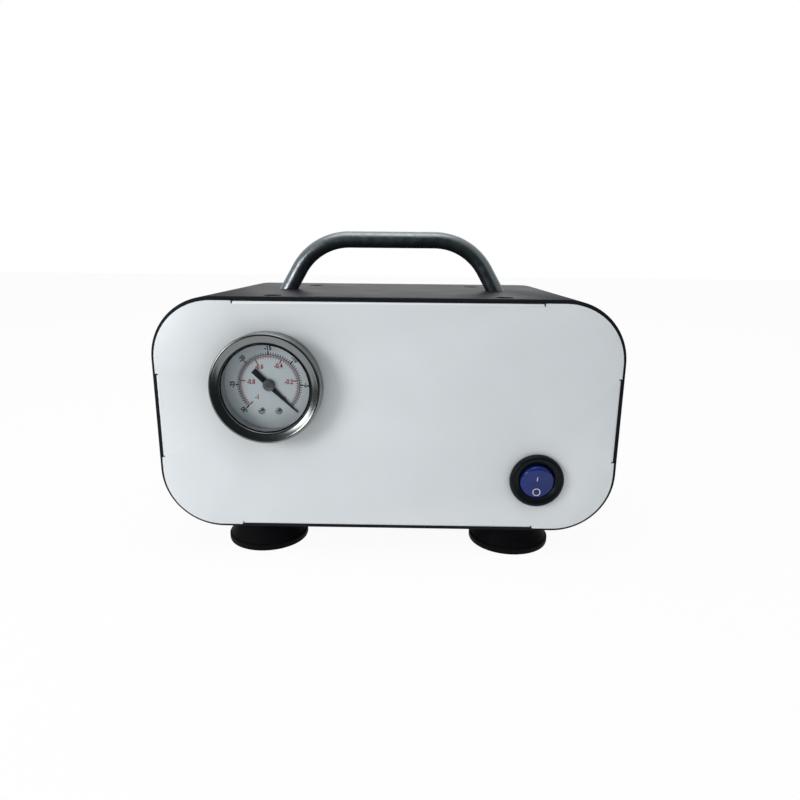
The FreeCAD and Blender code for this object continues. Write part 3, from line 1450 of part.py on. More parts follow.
def valve_plate(node, side):
    """Plate above the diaphragm with the pumping chamber below and valve ports above."""
    body = new_body("ValvePlate")
    blank = Outline(body, "XY_Plane")
    blank.rounded(0.0, 0.0, head_side, head_side, seat_sheet)
    pad(body, blank, valve_plate_height)
    chamber = Outline(body, "XY_Plane")
    chamber.circle(0.0, 0.0, work_radius)
    pocket(body, chamber, valve_chamber_depth, reverse=True)
    ports = Outline(body, "XY_Plane")
    for end in (-1, 1):
        ports.circle(0.0, end * valve_offset, valve_port_radius)
    pocket(body, ports, valve_plate_height * 2.0, both=True)
    return keep(place(body, side * head_x, shaft_y, plate_z), node)


def umbrella_valves():
    """Rubber umbrella valves, two on each valve plate."""
    valves = []
    for side in (-1, 1):
        for end in (-1, 1):
            y = shaft_y + end * valve_offset
            valves.append(cone_along("z", side * head_x, y, head_z + seat_gap, valve_radius,
                                     valve_port_radius, valve_height))
    return keep(group(valves), "umbrella_valves")


def pump_head(node, side):
    """Finned head cover with its valve pockets and two hose barbs."""
    body = new_body("Head")
    blank = Outline(body, "XY_Plane")
    blank.rounded(0.0, 0.0, head_side, head_side, seat_sheet)
    pad(body, blank, head_height)
    half = head_side / 2.0
    gap = Outline(body, "XZ_Plane")
    first = -fin_gap * (fin_count - 0.5)
    gap.box(first, head_height - fin_depth, first + fin_gap, head_height + fit_gap)
    groove = pocket(body, gap, fin_length, both=True)
    linear(body, groove, "X_Axis", fin_gap * 2.0 * (fin_count - 1), fin_count)
    pockets = Outline(body, "XY_Plane")
    for end in (-1, 1):
        pockets.circle(0.0, end * valve_offset, valve_radius + fin_gap / 2.0)
    pocket(body, pockets, valve_height * 2.0, reverse=True)
    rear_barb = Outline(body, "XZ_Plane", offset=-half)
    rear_barb.circle(0.0, head_height - hose_port_drop, barb_radius)
    pad(body, rear_barb, barb_length, reverse=True)
    side_barb = Outline(body, "YZ_Plane", offset=-side * half)
    side_barb.circle(-valve_offset, head_height - hose_port_drop, barb_radius)
    pad(body, side_barb, barb_length, reverse=(side > 0))
    return keep(place(body, side * head_x, shaft_y, head_z), node)


# Fan and capacitor


def cooling_fan():
    """Axial fan on the end of the shaft."""
    body = new_body("Fan")
    hub = Outline(body, "YZ_Plane")
    hub.circle(0.0, 0.0, fan_hub_radius)
    pad(body, hub, fan_width, both=True)
    root = fan_hub_radius - fan_root
    blade = Outline(body, "XY_Plane", offset=root)
    lean = math.radians(fan_pitch_angle)
    along = (fan_chord / 2.0 * math.sin(lean), fan_chord / 2.0 * math.cos(lean))
    across = (fan_sheet / 2.0 * math.cos(lean), -fan_sheet / 2.0 * math.sin(lean))
    corners = []
    for end, edge in ((-1, -1), (1, -1), (1, 1), (-1, 1)):
        corners.append((along[0] * end + across[0] * edge, along[1] * end + across[1] * edge))
    blade.polygon(corners)
    first = pad(body, blade, fan_radius - root)
    last = polar(body, first, "X_Axis", fan_blades)
    bore = Outline(body, "YZ_Plane")
    bore.circle(0.0, 0.0, shaft_radius)
    body.Tip = last
    pocket(body, bore, fan_width * 2.0, both=True)
    return keep(place(body, fan_start + fan_width / 2.0, shaft_y, shaft_z), "cooling_fan")


def motor_capacitor():
    """Running capacitor that stands on the tray."""
    body = new_body("Capacitor")
    base = Outline(body, "XY_Plane")
    base.rounded(0.0, 0.0, capacitor_width, capacitor_depth, capacitor_depth / 8.0)
    pad(body, base, capacitor_height)
    y = front_face + flange_length + capacitor_depth / 2.0 + capacitor_gap
    return keep(place(body, capacitor_x, y, tray_top), "motor_capacitor")


def build():
    case_shell()
    front_panel()
    rear_panel()
    handle()
    rubber_feet()
    base_tray()
    vibration_mounts()
    gauge_bezel()
    gauge_window()
    gauge_can()
    gauge_dial()
    gauge_pointer()
    gauge_movement()
    gauge_socket()
    gauge_tube()
    gauge_clamp()
    switch_housing()
    switch_rocker()
    switch_terminals()
    inlet_socket()
    inlet_pins()
    fuse_drawer()
    fuse()
    suction_fitting()
    exhaust_silencer()
    port_nuts()
    motor_stator()
    motor_windings()
    motor_shaft()
    rotor_core()
    main_bearings()
    for node, side in (("left", -1), ("right", 1)):
        crankcase(node + "_crankcase", side)
        eccentric(node + "_eccentric", side)
        rod_bearing(node + "_rod_bearing", side)
        connecting_rod(node + "_rod", side)
        clamp_disc(node + "_clamp_disc", side)
        diaphragm(node + "_diaphragm", side)
        valve_plate(node + "_valve_plate", side)
        pump_head(node + "_head", side)
    umbrella_valves()
    pump_hoses()
    gauge_hose()
    cooling_fan()
    motor_capacitor()


def write_out():
    """Check every object, then write each piece to its own file."""
    doc.recompute()
    failed = [item for item in doc.Objects if "Invalid" in item.State or "Error" in item.State]
    if failed:
        names = ["%s of %s" % (item.Label, [user.Label for user in item.InList]) for item in failed]
        raise RuntimeError("these did not build: " + "; ".join(names))
    unsound = [item.Label for item in pieces if item.Shape.isNull() or not item.Shape.isValid()]
    if unsound:
        raise RuntimeError("these have no sound shape: " + "; ".join(unsound))
    os.makedirs("parts", exist_ok=True)
    for item in pieces:
        item.Shape.exportStep("parts/%s.step" % item.Label)


build()
write_out()
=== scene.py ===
"""Diaphragm vacuum pump: its looks, laid out as an add-on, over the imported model."""

import math

import bmesh
import bpy
from mathutils import Matrix, Vector


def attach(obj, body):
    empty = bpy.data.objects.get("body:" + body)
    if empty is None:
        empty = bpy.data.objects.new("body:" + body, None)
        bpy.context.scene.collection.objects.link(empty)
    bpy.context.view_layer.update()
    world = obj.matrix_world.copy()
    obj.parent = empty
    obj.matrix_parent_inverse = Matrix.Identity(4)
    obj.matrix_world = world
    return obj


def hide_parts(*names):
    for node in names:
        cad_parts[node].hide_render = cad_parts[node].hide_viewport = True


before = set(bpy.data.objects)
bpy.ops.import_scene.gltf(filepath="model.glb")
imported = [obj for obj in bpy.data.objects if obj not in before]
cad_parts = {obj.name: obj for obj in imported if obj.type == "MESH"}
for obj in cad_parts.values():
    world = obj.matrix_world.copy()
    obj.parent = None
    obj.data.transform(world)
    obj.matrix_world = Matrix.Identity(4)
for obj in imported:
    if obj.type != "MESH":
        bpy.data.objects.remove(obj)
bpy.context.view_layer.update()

bl_info = {
    "name": "Diaphragm Vacuum Pump",
    "version": (1, 0, 0),
    "blender": (4, 5, 0),
    "location": "View3D > Sidebar > Pump",
    "description": "Builds the visible pieces and materials of a boxed diaphragm vacuum pump",
    "category": "Object",
}

# One millimetre, and the faces and the middle of the case in millimetres
MM = 0.001
FRONT = -62.5
REAR = 48.5
UNDERSIDE = 12.0
TOP = 112.0
MIDDLE = 62.0


# Settings shown in the sidebar


def length_setting(name, words, value):
    """A length given in millimetres and kept in metres."""
    return bpy.props.FloatProperty(name=name, description=words, default=value * MM,
                                   unit="LENGTH", precision=5)


def colour_setting(name, words, value):
    return bpy.props.FloatVectorProperty(name=name, description=words, default=value, size=3,
                                         subtype="COLOR", min=0.0, max=1.0)


class PumpCaseSettings(bpy.types.PropertyGroup):
    corner: length_setting("Corner", "Radius of the case's corners", 26.0)
    wall: length_setting("Wall", "Thickness of the wrapped sheet", 1.5)
    rim: length_setting("Rim", "Rounding of the case's open edges", 0.15)
    coat: colour_setting("Coat", "Powder coat of the case", (0.012, 0.014, 0.018))
    grain: bpy.props.FloatProperty(name="Grain", description="Depth of the powder coat's grain",
                                   default=0.12, min=0.0, max=1.0)


class PumpPanelSettings(bpy.types.PropertyGroup):
    sheet: length_setting("Sheet", "Thickness of the panels", 1.5)
    bend: length_setting("Bend", "Outer radius of the flange bends", 1.2)
    coat: colour_setting("Coat", "White coat of both panels", (0.765, 0.805, 0.82))


class PumpHandleSettings(bpy.types.PropertyGroup):
    rise: length_setting("Rise", "Height of the bar's middle over the case", 23.4)
    bar: length_setting("Bar", "Diameter of the round bar", 7.7)
    bend: length_setting("Bend", "Bend radius at the bar's middle", 28.0)
    span: length_setting("Span", "Distance between the ends", 100.0)
    metal: colour_setting("Metal", "Satin metal of the bar", (0.225, 0.255, 0.267))


class PumpFootSettings(bpy.types.PropertyGroup):
    radius: length_setting("Radius", "Radius at the foot's rim", 18.0)
    neck: length_setting("Neck", "Radius under the case", 14.0)
    rubber: colour_setting("Rubber", "Black rubber", (0.003, 0.003, 0.004))


class PumpGaugeSettings(bpy.types.PropertyGroup):
    across: length_setting("Across", "Place of the gauge along X", -49.1)
    up: length_setting("Up", "Height of the gauge", 75.8)
    red: colour_setting("Red", "Red of the inner scale", (0.40, 0.010, 0.022))
    black: colour_setting("Black", "Black of the outer scale", (0.006, 0.008, 0.012))


class PumpSwitchSettings(bpy.types.PropertyGroup):
    across: length_setting("Across", "Place of the switch along X", 63.7)
    up: length_setting("Up", "Height of the switch", 36.0)
    blue: colour_setting("Blue", "Translucent blue of the rocker", (0.008, 0.026, 0.20))


class PumpRearSettings(bpy.types.PropertyGroup):
    port: length_setting("Port", "Height of both ports", 96.7)
    span: length_setting("Span", "Distance between the ports", 104.0)
    brass: colour_setting("Brass", "Turned brass", (0.62, 0.42, 0.16))


class PumpStageSettings(bpy.types.PropertyGroup):
    lens: bpy.props.FloatProperty(name="Lens", description="Focal length of the camera in millimetres",
                                  default=27.144, min=1.0)
    white: bpy.props.FloatProperty(name="White", description="Brightness of the floor's paper",
                                   default=0.92, min=0.0, max=1.0)


# Mesh helpers


def settled(name, mesh, body, finish, nodes=(), smooth=35.0):
    """Put a finished mesh into the scene, hand it to its body and give it its material."""
    piece = bpy.data.objects.new(name, mesh)
    bpy.context.collection.objects.link(piece)
    for face in mesh.polygons:
        face.use_smooth = True
    mesh.set_sharp_from_angle(angle=math.radians(smooth))
    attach(piece, body)
    if nodes:
        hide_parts(*nodes)
    mesh.materials.clear()
    mesh.materials.append(MATERIALS[finish])


def mesh_of(name, verts, faces):
    """Mesh from corners in millimetres, with doubles merged and the faces turned outward."""
    mesh = bpy.data.meshes.new(name)
    mesh.from_pydata([tuple(c * MM for c in v) for v in verts], [], faces)
    mesh.validate()
    work = bmesh.new()
    work.from_mesh(mesh)
    bmesh.ops.remove_doubles(work, verts=work.verts, dist=1e-7)
    bmesh.ops.recalc_face_normals(work, faces=work.faces)
    work.to_mesh(mesh)
    work.free()
    return mesh


def joined(name, meshes):
    """Several meshes as one."""
    work = bmesh.new()
    for mesh in meshes:
        work.from_mesh(mesh)
    out = bpy.data.meshes.new(name)
    work.to_mesh(out)
    work.free()
    return out


def bevelled(mesh, width):
    """Round the edges sharper than 30 degrees by a width in millimetres."""
    flat = math.radians(1.0)
    sharp = math.radians(30.0)
    work = bmesh.new()
    work.from_mesh(mesh)
    bmesh.ops.dissolve_limit(work, angle_limit=flat, verts=work.verts, edges=work.edges)
    edges = [edge for edge in work.edges
             if len(edge.link_faces) == 2 and edge.calc_face_angle(0.0) > sharp]
    bmesh.ops.bevel(work, geom=edges, offset=width * MM, segments=2, profile=0.5,
                    affect="EDGES", clamp_overlap=True)
    bmesh.ops.triangulate(work, faces=[face for face in work.faces if len(face.verts) > 4])
    work.to_mesh(mesh)
    work.free()
    return mesh


def ring_faces(low, high, count):
    """Four-sided faces between two rings of corners that start at these numbers."""
    faces = []
    for n in range(count):
        m = (n + 1) % count
        faces.append([low + n, low + m, high + m, high + n])
    return faces


def turned(name, profile, centre, axis, steps):
    """Turn a profile of (radius, along) about an axis through a centre; a radius of 0 closes it."""
    rings = []
    verts = []
    for radius, along in profile:
        if radius < 1e-6:
            rings.append([len(verts)])
            verts.append((0.0, 0.0, along))
            continue
        ring = []
        for n in range(steps):
            angle = 2.0 * math.pi * n / steps
            ring.append(len(verts))
            verts.append((radius * math.cos(angle), radius * math.sin(angle), along))
        rings.append(ring)
    faces = []
    for low, high in zip(rings, rings[1:]):
        for n in range(steps):
            m = (n + 1) % steps
            a = low[n % len(low)]
            b = low[m % len(low)]
            c = high[m % len(high)]
            d = high[n % len(high)]
            face = []
            for index in (a, b, c, d):
                if index not in face:
                    face.append(index)
            if len(face) > 2:
                faces.append(face)
    cx, cy, cz = centre
    moved = []
    for x, y, z in verts:
        if axis == "y":
            y, z = z, -y
        moved.append((x + cx, y + cy, z + cz))
    return mesh_of(name, moved, faces)


def repeated(name, profile, spots, axis, steps):
    """The same turned shape at several places, as one mesh."""
    return joined(name, [turned("Copy", profile, spot, axis, steps) for spot in spots])


def prism(name, outline, start, end, centre=(0.0, 0.0, 0.0)):
    """Straight piece along Y with the same flat outline of (x, z) at both ends."""
    cx, cy, cz = centre
    verts = []
    for level in (start, end):
        verts += [(x + cx, level + cy, z + cz) for x, z in outline]
    count = len(outline)
    faces = [list(range(count)), list(range(2 * count - 1, count - 1, -1))]
    return mesh_of(name, verts, faces + ring_faces(0, count, count))


def rounded_outline(half_wide, half_tall, radius, steps):
    """Rectangle about the origin with round corners of so many steps each."""
    points = []
    for cx, cz, start in ((1, 1, 0), (-1, 1, 90), (-1, -1, 180), (1, -1, 270)):
        for n in range(steps + 1):
            angle = math.radians(start + 90.0 * n / steps)
            points.append((cx * (half_wide - radius) + radius * math.cos(angle),
                           cz * (half_tall - radius) + radius * math.sin(angle)))
    return points


def carved(mesh, cutters, additions=()):
    """Add meshes to a mesh and cut others out of it."""
    work = bpy.data.objects.new("Work", mesh)
    bpy.context.collection.objects.link(work)
    tools = []
    jobs = [("UNION", item) for item in additions] + [("DIFFERENCE", item) for item in cutters]
    for operation, shape in jobs:
        tool = bpy.data.objects.new("Tool", shape)
        bpy.context.collection.objects.link(tool)
        tools.append(tool)
        modifier = work.modifiers.new(operation.title(), "BOOLEAN")
        modifier.operation = operation
        modifier.solver = "EXACT"
        modifier.object = tool
    bpy.context.view_layer.update()
    graph = bpy.context.evaluated_depsgraph_get()
    result = bpy.data.meshes.new_from_object(work.evaluated_get(graph))
    for item in [work] + tools:
        bpy.data.objects.remove(item)
    return result


def swept(name, path, radius, steps):
    """Round bar along a path in the XZ plane, closed at both ends."""
    verts = []
    side = Vector((0.0, 1.0, 0.0))
    for index, point in enumerate(path):
        before = path[max(index - 1, 0)]
        after = path[min(index + 1, len(path) - 1)]
        along = (Vector(after) - Vector(before)).normalized()
        across = along.cross(side).normalized()
        for n in range(steps):
            angle = 2.0 * math.pi * n / steps
            spot = Vector(point) + side * radius * math.cos(angle) + across * radius * math.sin(angle)
            verts.append(tuple(spot))
    last = (len(path) - 1) * steps
    faces = []
    for low in range(0, last, steps):
        faces += ring_faces(low, low + steps, steps)
    faces.append(list(range(steps)))
    faces.append(list(range(last, last + steps)))
    return mesh_of(name, verts, faces)


# Materials


def base_material(name, colour, roughness, metallic=0.0):
    """New material with its tree, its shader and a node for the piece's own space."""
    material = bpy.data.materials.new(name)
    material.use_nodes = True
    tree = material.node_tree
    shader = tree.nodes["Principled BSDF"]
    shader.inputs["Base Color"].default_value = (*colour, 1.0)
    shader.inputs["Roughness"].default_value = roughness
    shader.inputs["Metallic"].default_value = metallic
    place = tree.nodes.new("ShaderNodeTexCoord")
    return material, tree, shader, place


def noise(tree, place, scale, detail=3.0, stretch=None):
    """Noise in the piece's own space, stretched along an axis if asked."""
    source = place.outputs["Object"]
    if stretch:
        mapping = tree.nodes.new("ShaderNodeMapping")
        mapping.inputs["Scale"].default_value = stretch
        tree.links.new(source, mapping.inputs["Vector"])
        source = mapping.outputs["Vector"]
    node = tree.nodes.new("ShaderNodeTexNoise")
    node.inputs["Scale"].default_value = scale
    node.inputs["Detail"].default_value = detail
    tree.links.new(source, node.inputs["Vector"])
    return node.outputs["Fac"]


def spread(tree, factor, low, high):
    """Turn a noise into a number between two values."""
    node = tree.nodes.new("ShaderNodeMapRange")
    node.inputs["From Min"].default_value = 0.3
    node.inputs["From Max"].default_value = 0.7
    node.inputs["To Min"].default_value = low
    node.inputs["To Max"].default_value = high
    tree.links.new(factor, node.inputs["Value"])
    return node.outputs["Result"]


def tinted(tree, shader, factor, first, second):
    """Vary the colour between two shades."""
    ramp = tree.nodes.new("ShaderNodeValToRGB")
    ramp.color_ramp.elements[0].position = 0.35
    ramp.color_ramp.elements[1].position = 0.65
    ramp.color_ramp.elements[0].color = (*first, 1.0)
    ramp.color_ramp.elements[1].color = (*second, 1.0)
    tree.links.new(factor, ramp.inputs["Fac"])
    tree.links.new(ramp.outputs["Color"], shader.inputs["Base Color"])


def bumped(tree, shader, height, strength, distance):
    """Fine relief on the surface, as deep as the distance in metres."""
    bump = tree.nodes.new("ShaderNodeBump")
    bump.inputs["Strength"].default_value = strength
    bump.inputs["Distance"].default_value = distance
    tree.links.new(height, bump.inputs["Height"])
    tree.links.new(bump.outputs["Normal"], shader.inputs["Normal"])


def shade(colour, factor):
    """A lighter or darker shade of a colour."""
    return tuple(min(1.0, c * factor) for c in colour)


def coated(name, colour, roughness, grain_scale, grain, vary=0.06, specular=0.5):
    """Painted or powder-coated metal with a fine grain."""
    material, tree, shader, place = base_material(name, colour, roughness)
    shader.inputs["Specular IOR Level"].default_value = specular
    cloud = noise(tree, place, scale=60.0, detail=2.0)
    tinted(tree, shader, cloud, shade(colour, 1.0 - vary), shade(colour, 1.0 + vary))
    grains = noise(tree, place, grain_scale, detail=2.0)
    bumped(tree, shader, grains, grain, distance=0.00005)
    rough = spread(tree, cloud, roughness * 0.94, roughness * 1.06)
    tree.links.new(rough, shader.inputs["Roughness"])
    return material


def metal(name, colour, roughness, stretch=(1.0, 1.0, 1.0), scale=900.0, grain=0.06, vary=0.08):
    """Bare metal with fine marks from its making."""
    material, tree, shader, place = base_material(name, colour, roughness, metallic=1.0)
    marks = noise(tree, place, scale, stretch=stretch)
    cloud = noise(tree, place, scale=90.0)
    tinted(tree, shader, cloud, shade(colour, 1.0 - vary), shade(colour, 1.0 + vary))
    rough = spread(tree, marks, roughness * 0.8, roughness * 1.25)
    tree.links.new(rough, shader.inputs["Roughness"])
    bumped(tree, shader, marks, grain, distance=0.00003)
    return material


def moulded(name, colour, roughness, grain=0.08, scale=1800.0, specular=0.5):
    """Plastic or rubber from a mould."""
    material, tree, shader, place = base_material(name, colour, roughness)
    shader.inputs["Specular IOR Level"].default_value = specular
    cloud = noise(tree, place, scale=120.0)
    tinted(tree, shader, cloud, shade(colour, 0.85), shade(colour, 1.2))
    grains = noise(tree, place, scale)
    rough = spread(tree, grains, roughness * 0.9, roughness * 1.1)
    tree.links.new(rough, shader.inputs["Roughness"])
    bumped(tree, shader, grains, grain, distance=0.00004)
    return material


def laminated(name, colour):
    """Stacked thin sheets seen from their edges."""
    material, tree, shader, place = base_material(name, colour, 0.45, metallic=1.0)
    wave = tree.nodes.new("ShaderNodeTexWave")
    wave.bands_direction = "X"
    wave.inputs["Scale"].default_value = 320.0
    wave.inputs["Distortion"].default_value = 0.4
    tree.links.new(place.outputs["Object"], wave.inputs["Vector"])
    tinted(tree, shader, wave.outputs["Fac"], shade(colour, 0.7), shade(colour, 1.2))
    bumped(tree, shader, wave.outputs["Fac"], strength=0.3, distance=0.0001)
    return material


def wound(name, colour):
    """Coil of enamelled wire."""
    material, tree, shader, place = base_material(name, colour, 0.3, metallic=1.0)
    wave = tree.nodes.new("ShaderNodeTexWave")
    wave.wave_type = "RINGS"
    wave.rings_direction = "X"
    wave.inputs["Scale"].default_value = 260.0
    wave.inputs["Distortion"].default_value = 1.5
    wave.inputs["Detail"].default_value = 1.0
    tree.links.new(place.outputs["Object"], wave.inputs["Vector"])
    tinted(tree, shader, wave.outputs["Fac"], shade(colour, 0.55), shade(colour, 1.2))
    bumped(tree, shader, wave.outputs["Fac"], strength=0.5, distance=0.0003)
    return material


def clear_glass(name, tint):
    """Thin clear glass that bends no light and shines a little."""
    material = bpy.data.materials.new(name)
    material.use_nodes = True
    tree = material.node_tree
    tree.nodes.clear()
    out = tree.nodes.new("ShaderNodeOutputMaterial")
    mix = tree.nodes.new("ShaderNodeMixShader")
    clear = tree.nodes.new("ShaderNodeBsdfTransparent")
    gloss = tree.nodes.new("ShaderNodeBsdfGlossy")
    fresnel = tree.nodes.new("ShaderNodeFresnel")
    place = tree.nodes.new("ShaderNodeTexCoord")
    smear = noise(tree, place, scale=150.0, detail=2.0)
    tree.links.new(spread(tree, smear, low=0.015, high=0.05), gloss.inputs["Roughness"])
    fresnel.inputs["IOR"].default_value = 1.3
    clear.inputs["Color"].default_value = (*tint, 1.0)
    tree.links.new(fresnel.outputs["Fac"], mix.inputs["Fac"])
    tree.links.new(clear.outputs["BSDF"], mix.inputs[1])
    tree.links.new(gloss.outputs["BSDF"], mix.inputs[2])
    tree.links.new(mix.outputs["Shader"], out.inputs["Surface"])
    return material


def blue_plastic(name, colour):
    """Deep blue clear plastic with a gloss skin."""
    material, tree, shader, place = base_material(name, colour, 0.16)
    shader.inputs["Specular IOR Level"].default_value = 0.18
    shader.inputs["Transmission Weight"].default_value = 0.25
    shader.inputs["Coat Weight"].default_value = 0.15
    shader.inputs["Coat Roughness"].default_value = 0.08
    cloud = noise(tree, place, scale=200.0, detail=2.0)
    tinted(tree, shader, cloud, shade(colour, 0.85), shade(colour, 1.15))
    tree.links.new(spread(tree, cloud, low=0.13, high=0.2), shader.inputs["Roughness"])
    return material


MATERIALS = {}


def make_materials():
    """Make each finish once, with the colours that the sidebar shows."""
    scene = bpy.context.scene
    case = scene.pump_case
    gauge = scene.pump_gauge
    MATERIALS.update({
        "wrap": coated("WrapCoat", tuple(case.coat), 0.48, 2600.0, case.grain, vary=0.05, specular=0.045),
        "panel": coated("PanelCoat", tuple(scene.pump_panel.coat), 0.38, 2400.0, 0.04, vary=0.008),
        "handle": metal("HandleMetal", tuple(scene.pump_handle.metal), 0.34,
                        scale=320.0, grain=0.01, vary=0.03),
        "rubber": moulded("FootRubber", tuple(scene.pump_foot.rubber), 0.65, grain=0.12, specular=0.06),
        "screw": metal("BlackScrew", (0.02, 0.02, 0.023), 0.38, scale=1200.0),
        "steel": metal("PlatedSteel", (0.52, 0.53, 0.55), 0.32, scale=1500.0),
        "polished": metal("PolishedSteel", (0.20, 0.213, 0.212), 0.19, stretch=(1.0, 0.2, 1.0),
                          scale=1800.0, grain=0.002, vary=0.03),
        "dial": coated("DialPaint", (0.90, 0.95, 0.99), 0.5, 1800.0, 0.03, vary=0.01),
        "print_black": coated("BlackPrint", tuple(gauge.black), 0.5, 3000.0, 0.03),
        "print_red": coated("RedPrint", tuple(gauge.red), 0.5, 3000.0, 0.03),
        "pointer_paint": coated("PointerPaint", (0.006, 0.008, 0.012), 0.4, 3000.0, 0.03),
        "hub": metal("HubMetal", (0.26, 0.28, 0.28), 0.45, scale=2500.0),
        "glass": clear_glass("GaugeGlass", (0.985, 0.995, 0.995)),
        "housing": moulded("SwitchPlastic", (0.003, 0.005, 0.007), 0.4,
                           grain=0.06, scale=2600.0, specular=0.14),
        "blue": blue_plastic("RockerBlue", tuple(scene.pump_switch.blue)),
        "mark": moulded("WhiteMark", (0.75, 0.77, 0.88), 0.5, grain=0.03),
        "socket": moulded("SocketPlastic", (0.012, 0.012, 0.013), 0.48, grain=0.1, specular=0.3),
        "brass": metal("TurnedBrass", tuple(scene.pump_rear.brass), 0.27,
                       stretch=(1.0, 6.0, 1.0), scale=500.0),
        "bronze": metal("SinteredBronze", (0.42, 0.29, 0.13), 0.6, scale=1500.0, grain=0.6, vary=0.25),
        "cast": metal("CastAluminium", (0.52, 0.53, 0.54), 0.55, grain=0.25),
        "hose": moulded("HoseRubber", (0.03, 0.03, 0.032), 0.6, grain=0.1),
        "stack": laminated("Laminations", (0.25, 0.26, 0.28)),
        "copper": wound("EnamelledWire", (0.55, 0.20, 0.08)),
        "grey": moulded("GreyPlastic", (0.55, 0.55, 0.53), 0.5),
        "fuse_glass": clear_glass("FuseGlass", (0.93, 0.96, 0.95)),
    })


def dress_node(node, finish):
    """Give a CAD node a finished material without touching its mesh."""
    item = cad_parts[node]
    for slot in item.material_slots:
        slot.material = MATERIALS[finish]


# Pieces of the case. All shapes are in millimetres until mesh_of turns them into metres

# Case screws: place along X and Y, and 1 on the top or -1 on the underside
CASE_SCREWS = [(48.0, -52.9, 1), (-48.0, -52.9, 1), (41.5, 23.5, 1), (-41.5, 23.5, 1),
               (28.4, -52.9, -1), (-28.4, -52.9, -1), (28.4, 38.9, -1), (-28.4, 38.9, -1)]
# Middle of each foot on the floor
FOOT_SPOTS = [(x, y, 0.0) for x in (-56.0, 56.0) for y in (FRONT + 19.0, REAR - 19.0)]


def screw_shapes(profile, steps):
    """A profile of (radius, height over the sheet), turned at each case screw."""
    shapes = []
    for x, y, up in CASE_SCREWS:
        level = TOP if up > 0 else UNDERSIDE
        outward = [(radius, height * up) for radius, height in profile]
        shapes.append(turned("Screw", outward, (x, y, level), "z", steps))
    return shapes


def build_case(context):
    """Sheet wrapped to an open tube, with rounded rims and recesses for its screws."""
    values = context.scene.pump_case
    corner = values.corner / MM
    wall = values.wall / MM
    rim = values.rim / MM
    half_wide = 97.5
    half_tall = 50.0
    behind_panel = 1.5
    front = FRONT + behind_panel
    rear = REAR - behind_panel
    levels = [(front, rim), (front + rim * 0.3, rim * 0.3), (front + rim, 0.0), (rear - rim, 0.0)]
    levels += [(rear - rim * 0.3, rim * 0.3), (rear, rim), (rear, wall), (front, wall)]
    verts = []
    count = 0
    for y, inset in levels:
        ring = rounded_outline(half_wide - inset, half_tall - inset, corner - inset, 20)
        count = len(ring)
        verts += [(x, y, z + MIDDLE) for x, z in ring]
    faces = []
    for row in range(len(levels)):
        following = (row + 1) % len(levels)
        faces += ring_faces(row * count, following * count, count)
    recess = [(0.0, -2.0), (2.2, -2.0), (3.6, -0.45), (3.75, 0.0), (3.75, 0.5), (0.0, 0.5)]
    mesh = carved(mesh_of("WrapSheet", verts, faces), screw_shapes(recess, 32))
    settled("WrapSheet", mesh, "case", "wrap", ["case_shell"], 25.0)


def flange(axis, side, run, reach, depth, bend, sheet):
    """One bent strip: axis z is above or below the plate, axis x beside it."""
    lap = 1.0
    steps = 8
    section = [(0.0, reach - bend)]
    for n in range(1, steps + 1):
        angle = math.radians(90.0 * n / steps)
        section.append((bend - bend * math.cos(angle), reach - bend + bend * math.sin(angle)))
    section += [(depth, reach), (depth, reach - sheet), (sheet, reach - sheet)]
    section += [(sheet, reach - sheet - lap), (0.0, reach - sheet - lap)]
    verts = []
    for end in (-run, run):
        for y, across in section:
            verts.append((end, y, side * across) if axis == "z" else (side * across, y, end))
    total = len(section)
    faces = [list(range(total)), list(range(total, total * 2))]
    return mesh_of("Flange", verts, faces + ring_faces(0, total, total))


def panel_mesh(name, cutters, bend, sheet, top_flange):
    """Flat plate with reliefs at its corners and four flanges bent back, facing -Y at level 0."""
    edge_x, edge_z = 95.9, 48.4
    corner_x, corner_z = 71.5, 24.0
    side_x, side_z = 95.7, 48.2
    run_x, run_z = 62.4, 17.5
    notch, deep = 0.7, 1.0
    flange_depth = 15.0
    edge_round = 0.16
    steps = 20
    arc = edge_z - corner_z
    quarter = [(run_x, side_z - deep), (run_x + notch, side_z - deep), (run_x + notch, edge_z)]
    for n in range(steps + 1):
        angle = math.radians(90.0 - 90.0 * n / steps)
        quarter.append((corner_x + arc * math.cos(angle), corner_z + arc * math.sin(angle)))
    quarter += [(edge_x, run_z + notch), (side_x - deep, run_z + notch), (side_x - deep, run_z)]
    outline = list(quarter)
    outline += [(x, -z) for x, z in reversed(quarter)]
    outline += [(-x, -z) for x, z in quarter]
    outline += [(-x, z) for x, z in reversed(quarter)]
    strips = []
    for axis, run, reach in (("z", run_x, side_z), ("x", run_z, side_x)):
        for side in (-1, 1):
            depth = top_flange if (axis == "z" and side > 0) else flange_depth
            strips.append(flange(axis, side, run, reach, depth, bend, sheet))
    whole = carved(prism(name, outline, 0.0, sheet), cutters, strips)
    return bevelled(whole, edge_round)


def round_hole(radius, x, z, steps):
    """Cutter for a round hole through a panel."""
    profile = [(0.0, -5.0), (radius, -5.0), (radius, 5.0), (0.0, 5.0)]
    return turned("Hole", profile, (x, 0.0, z), "y", steps)


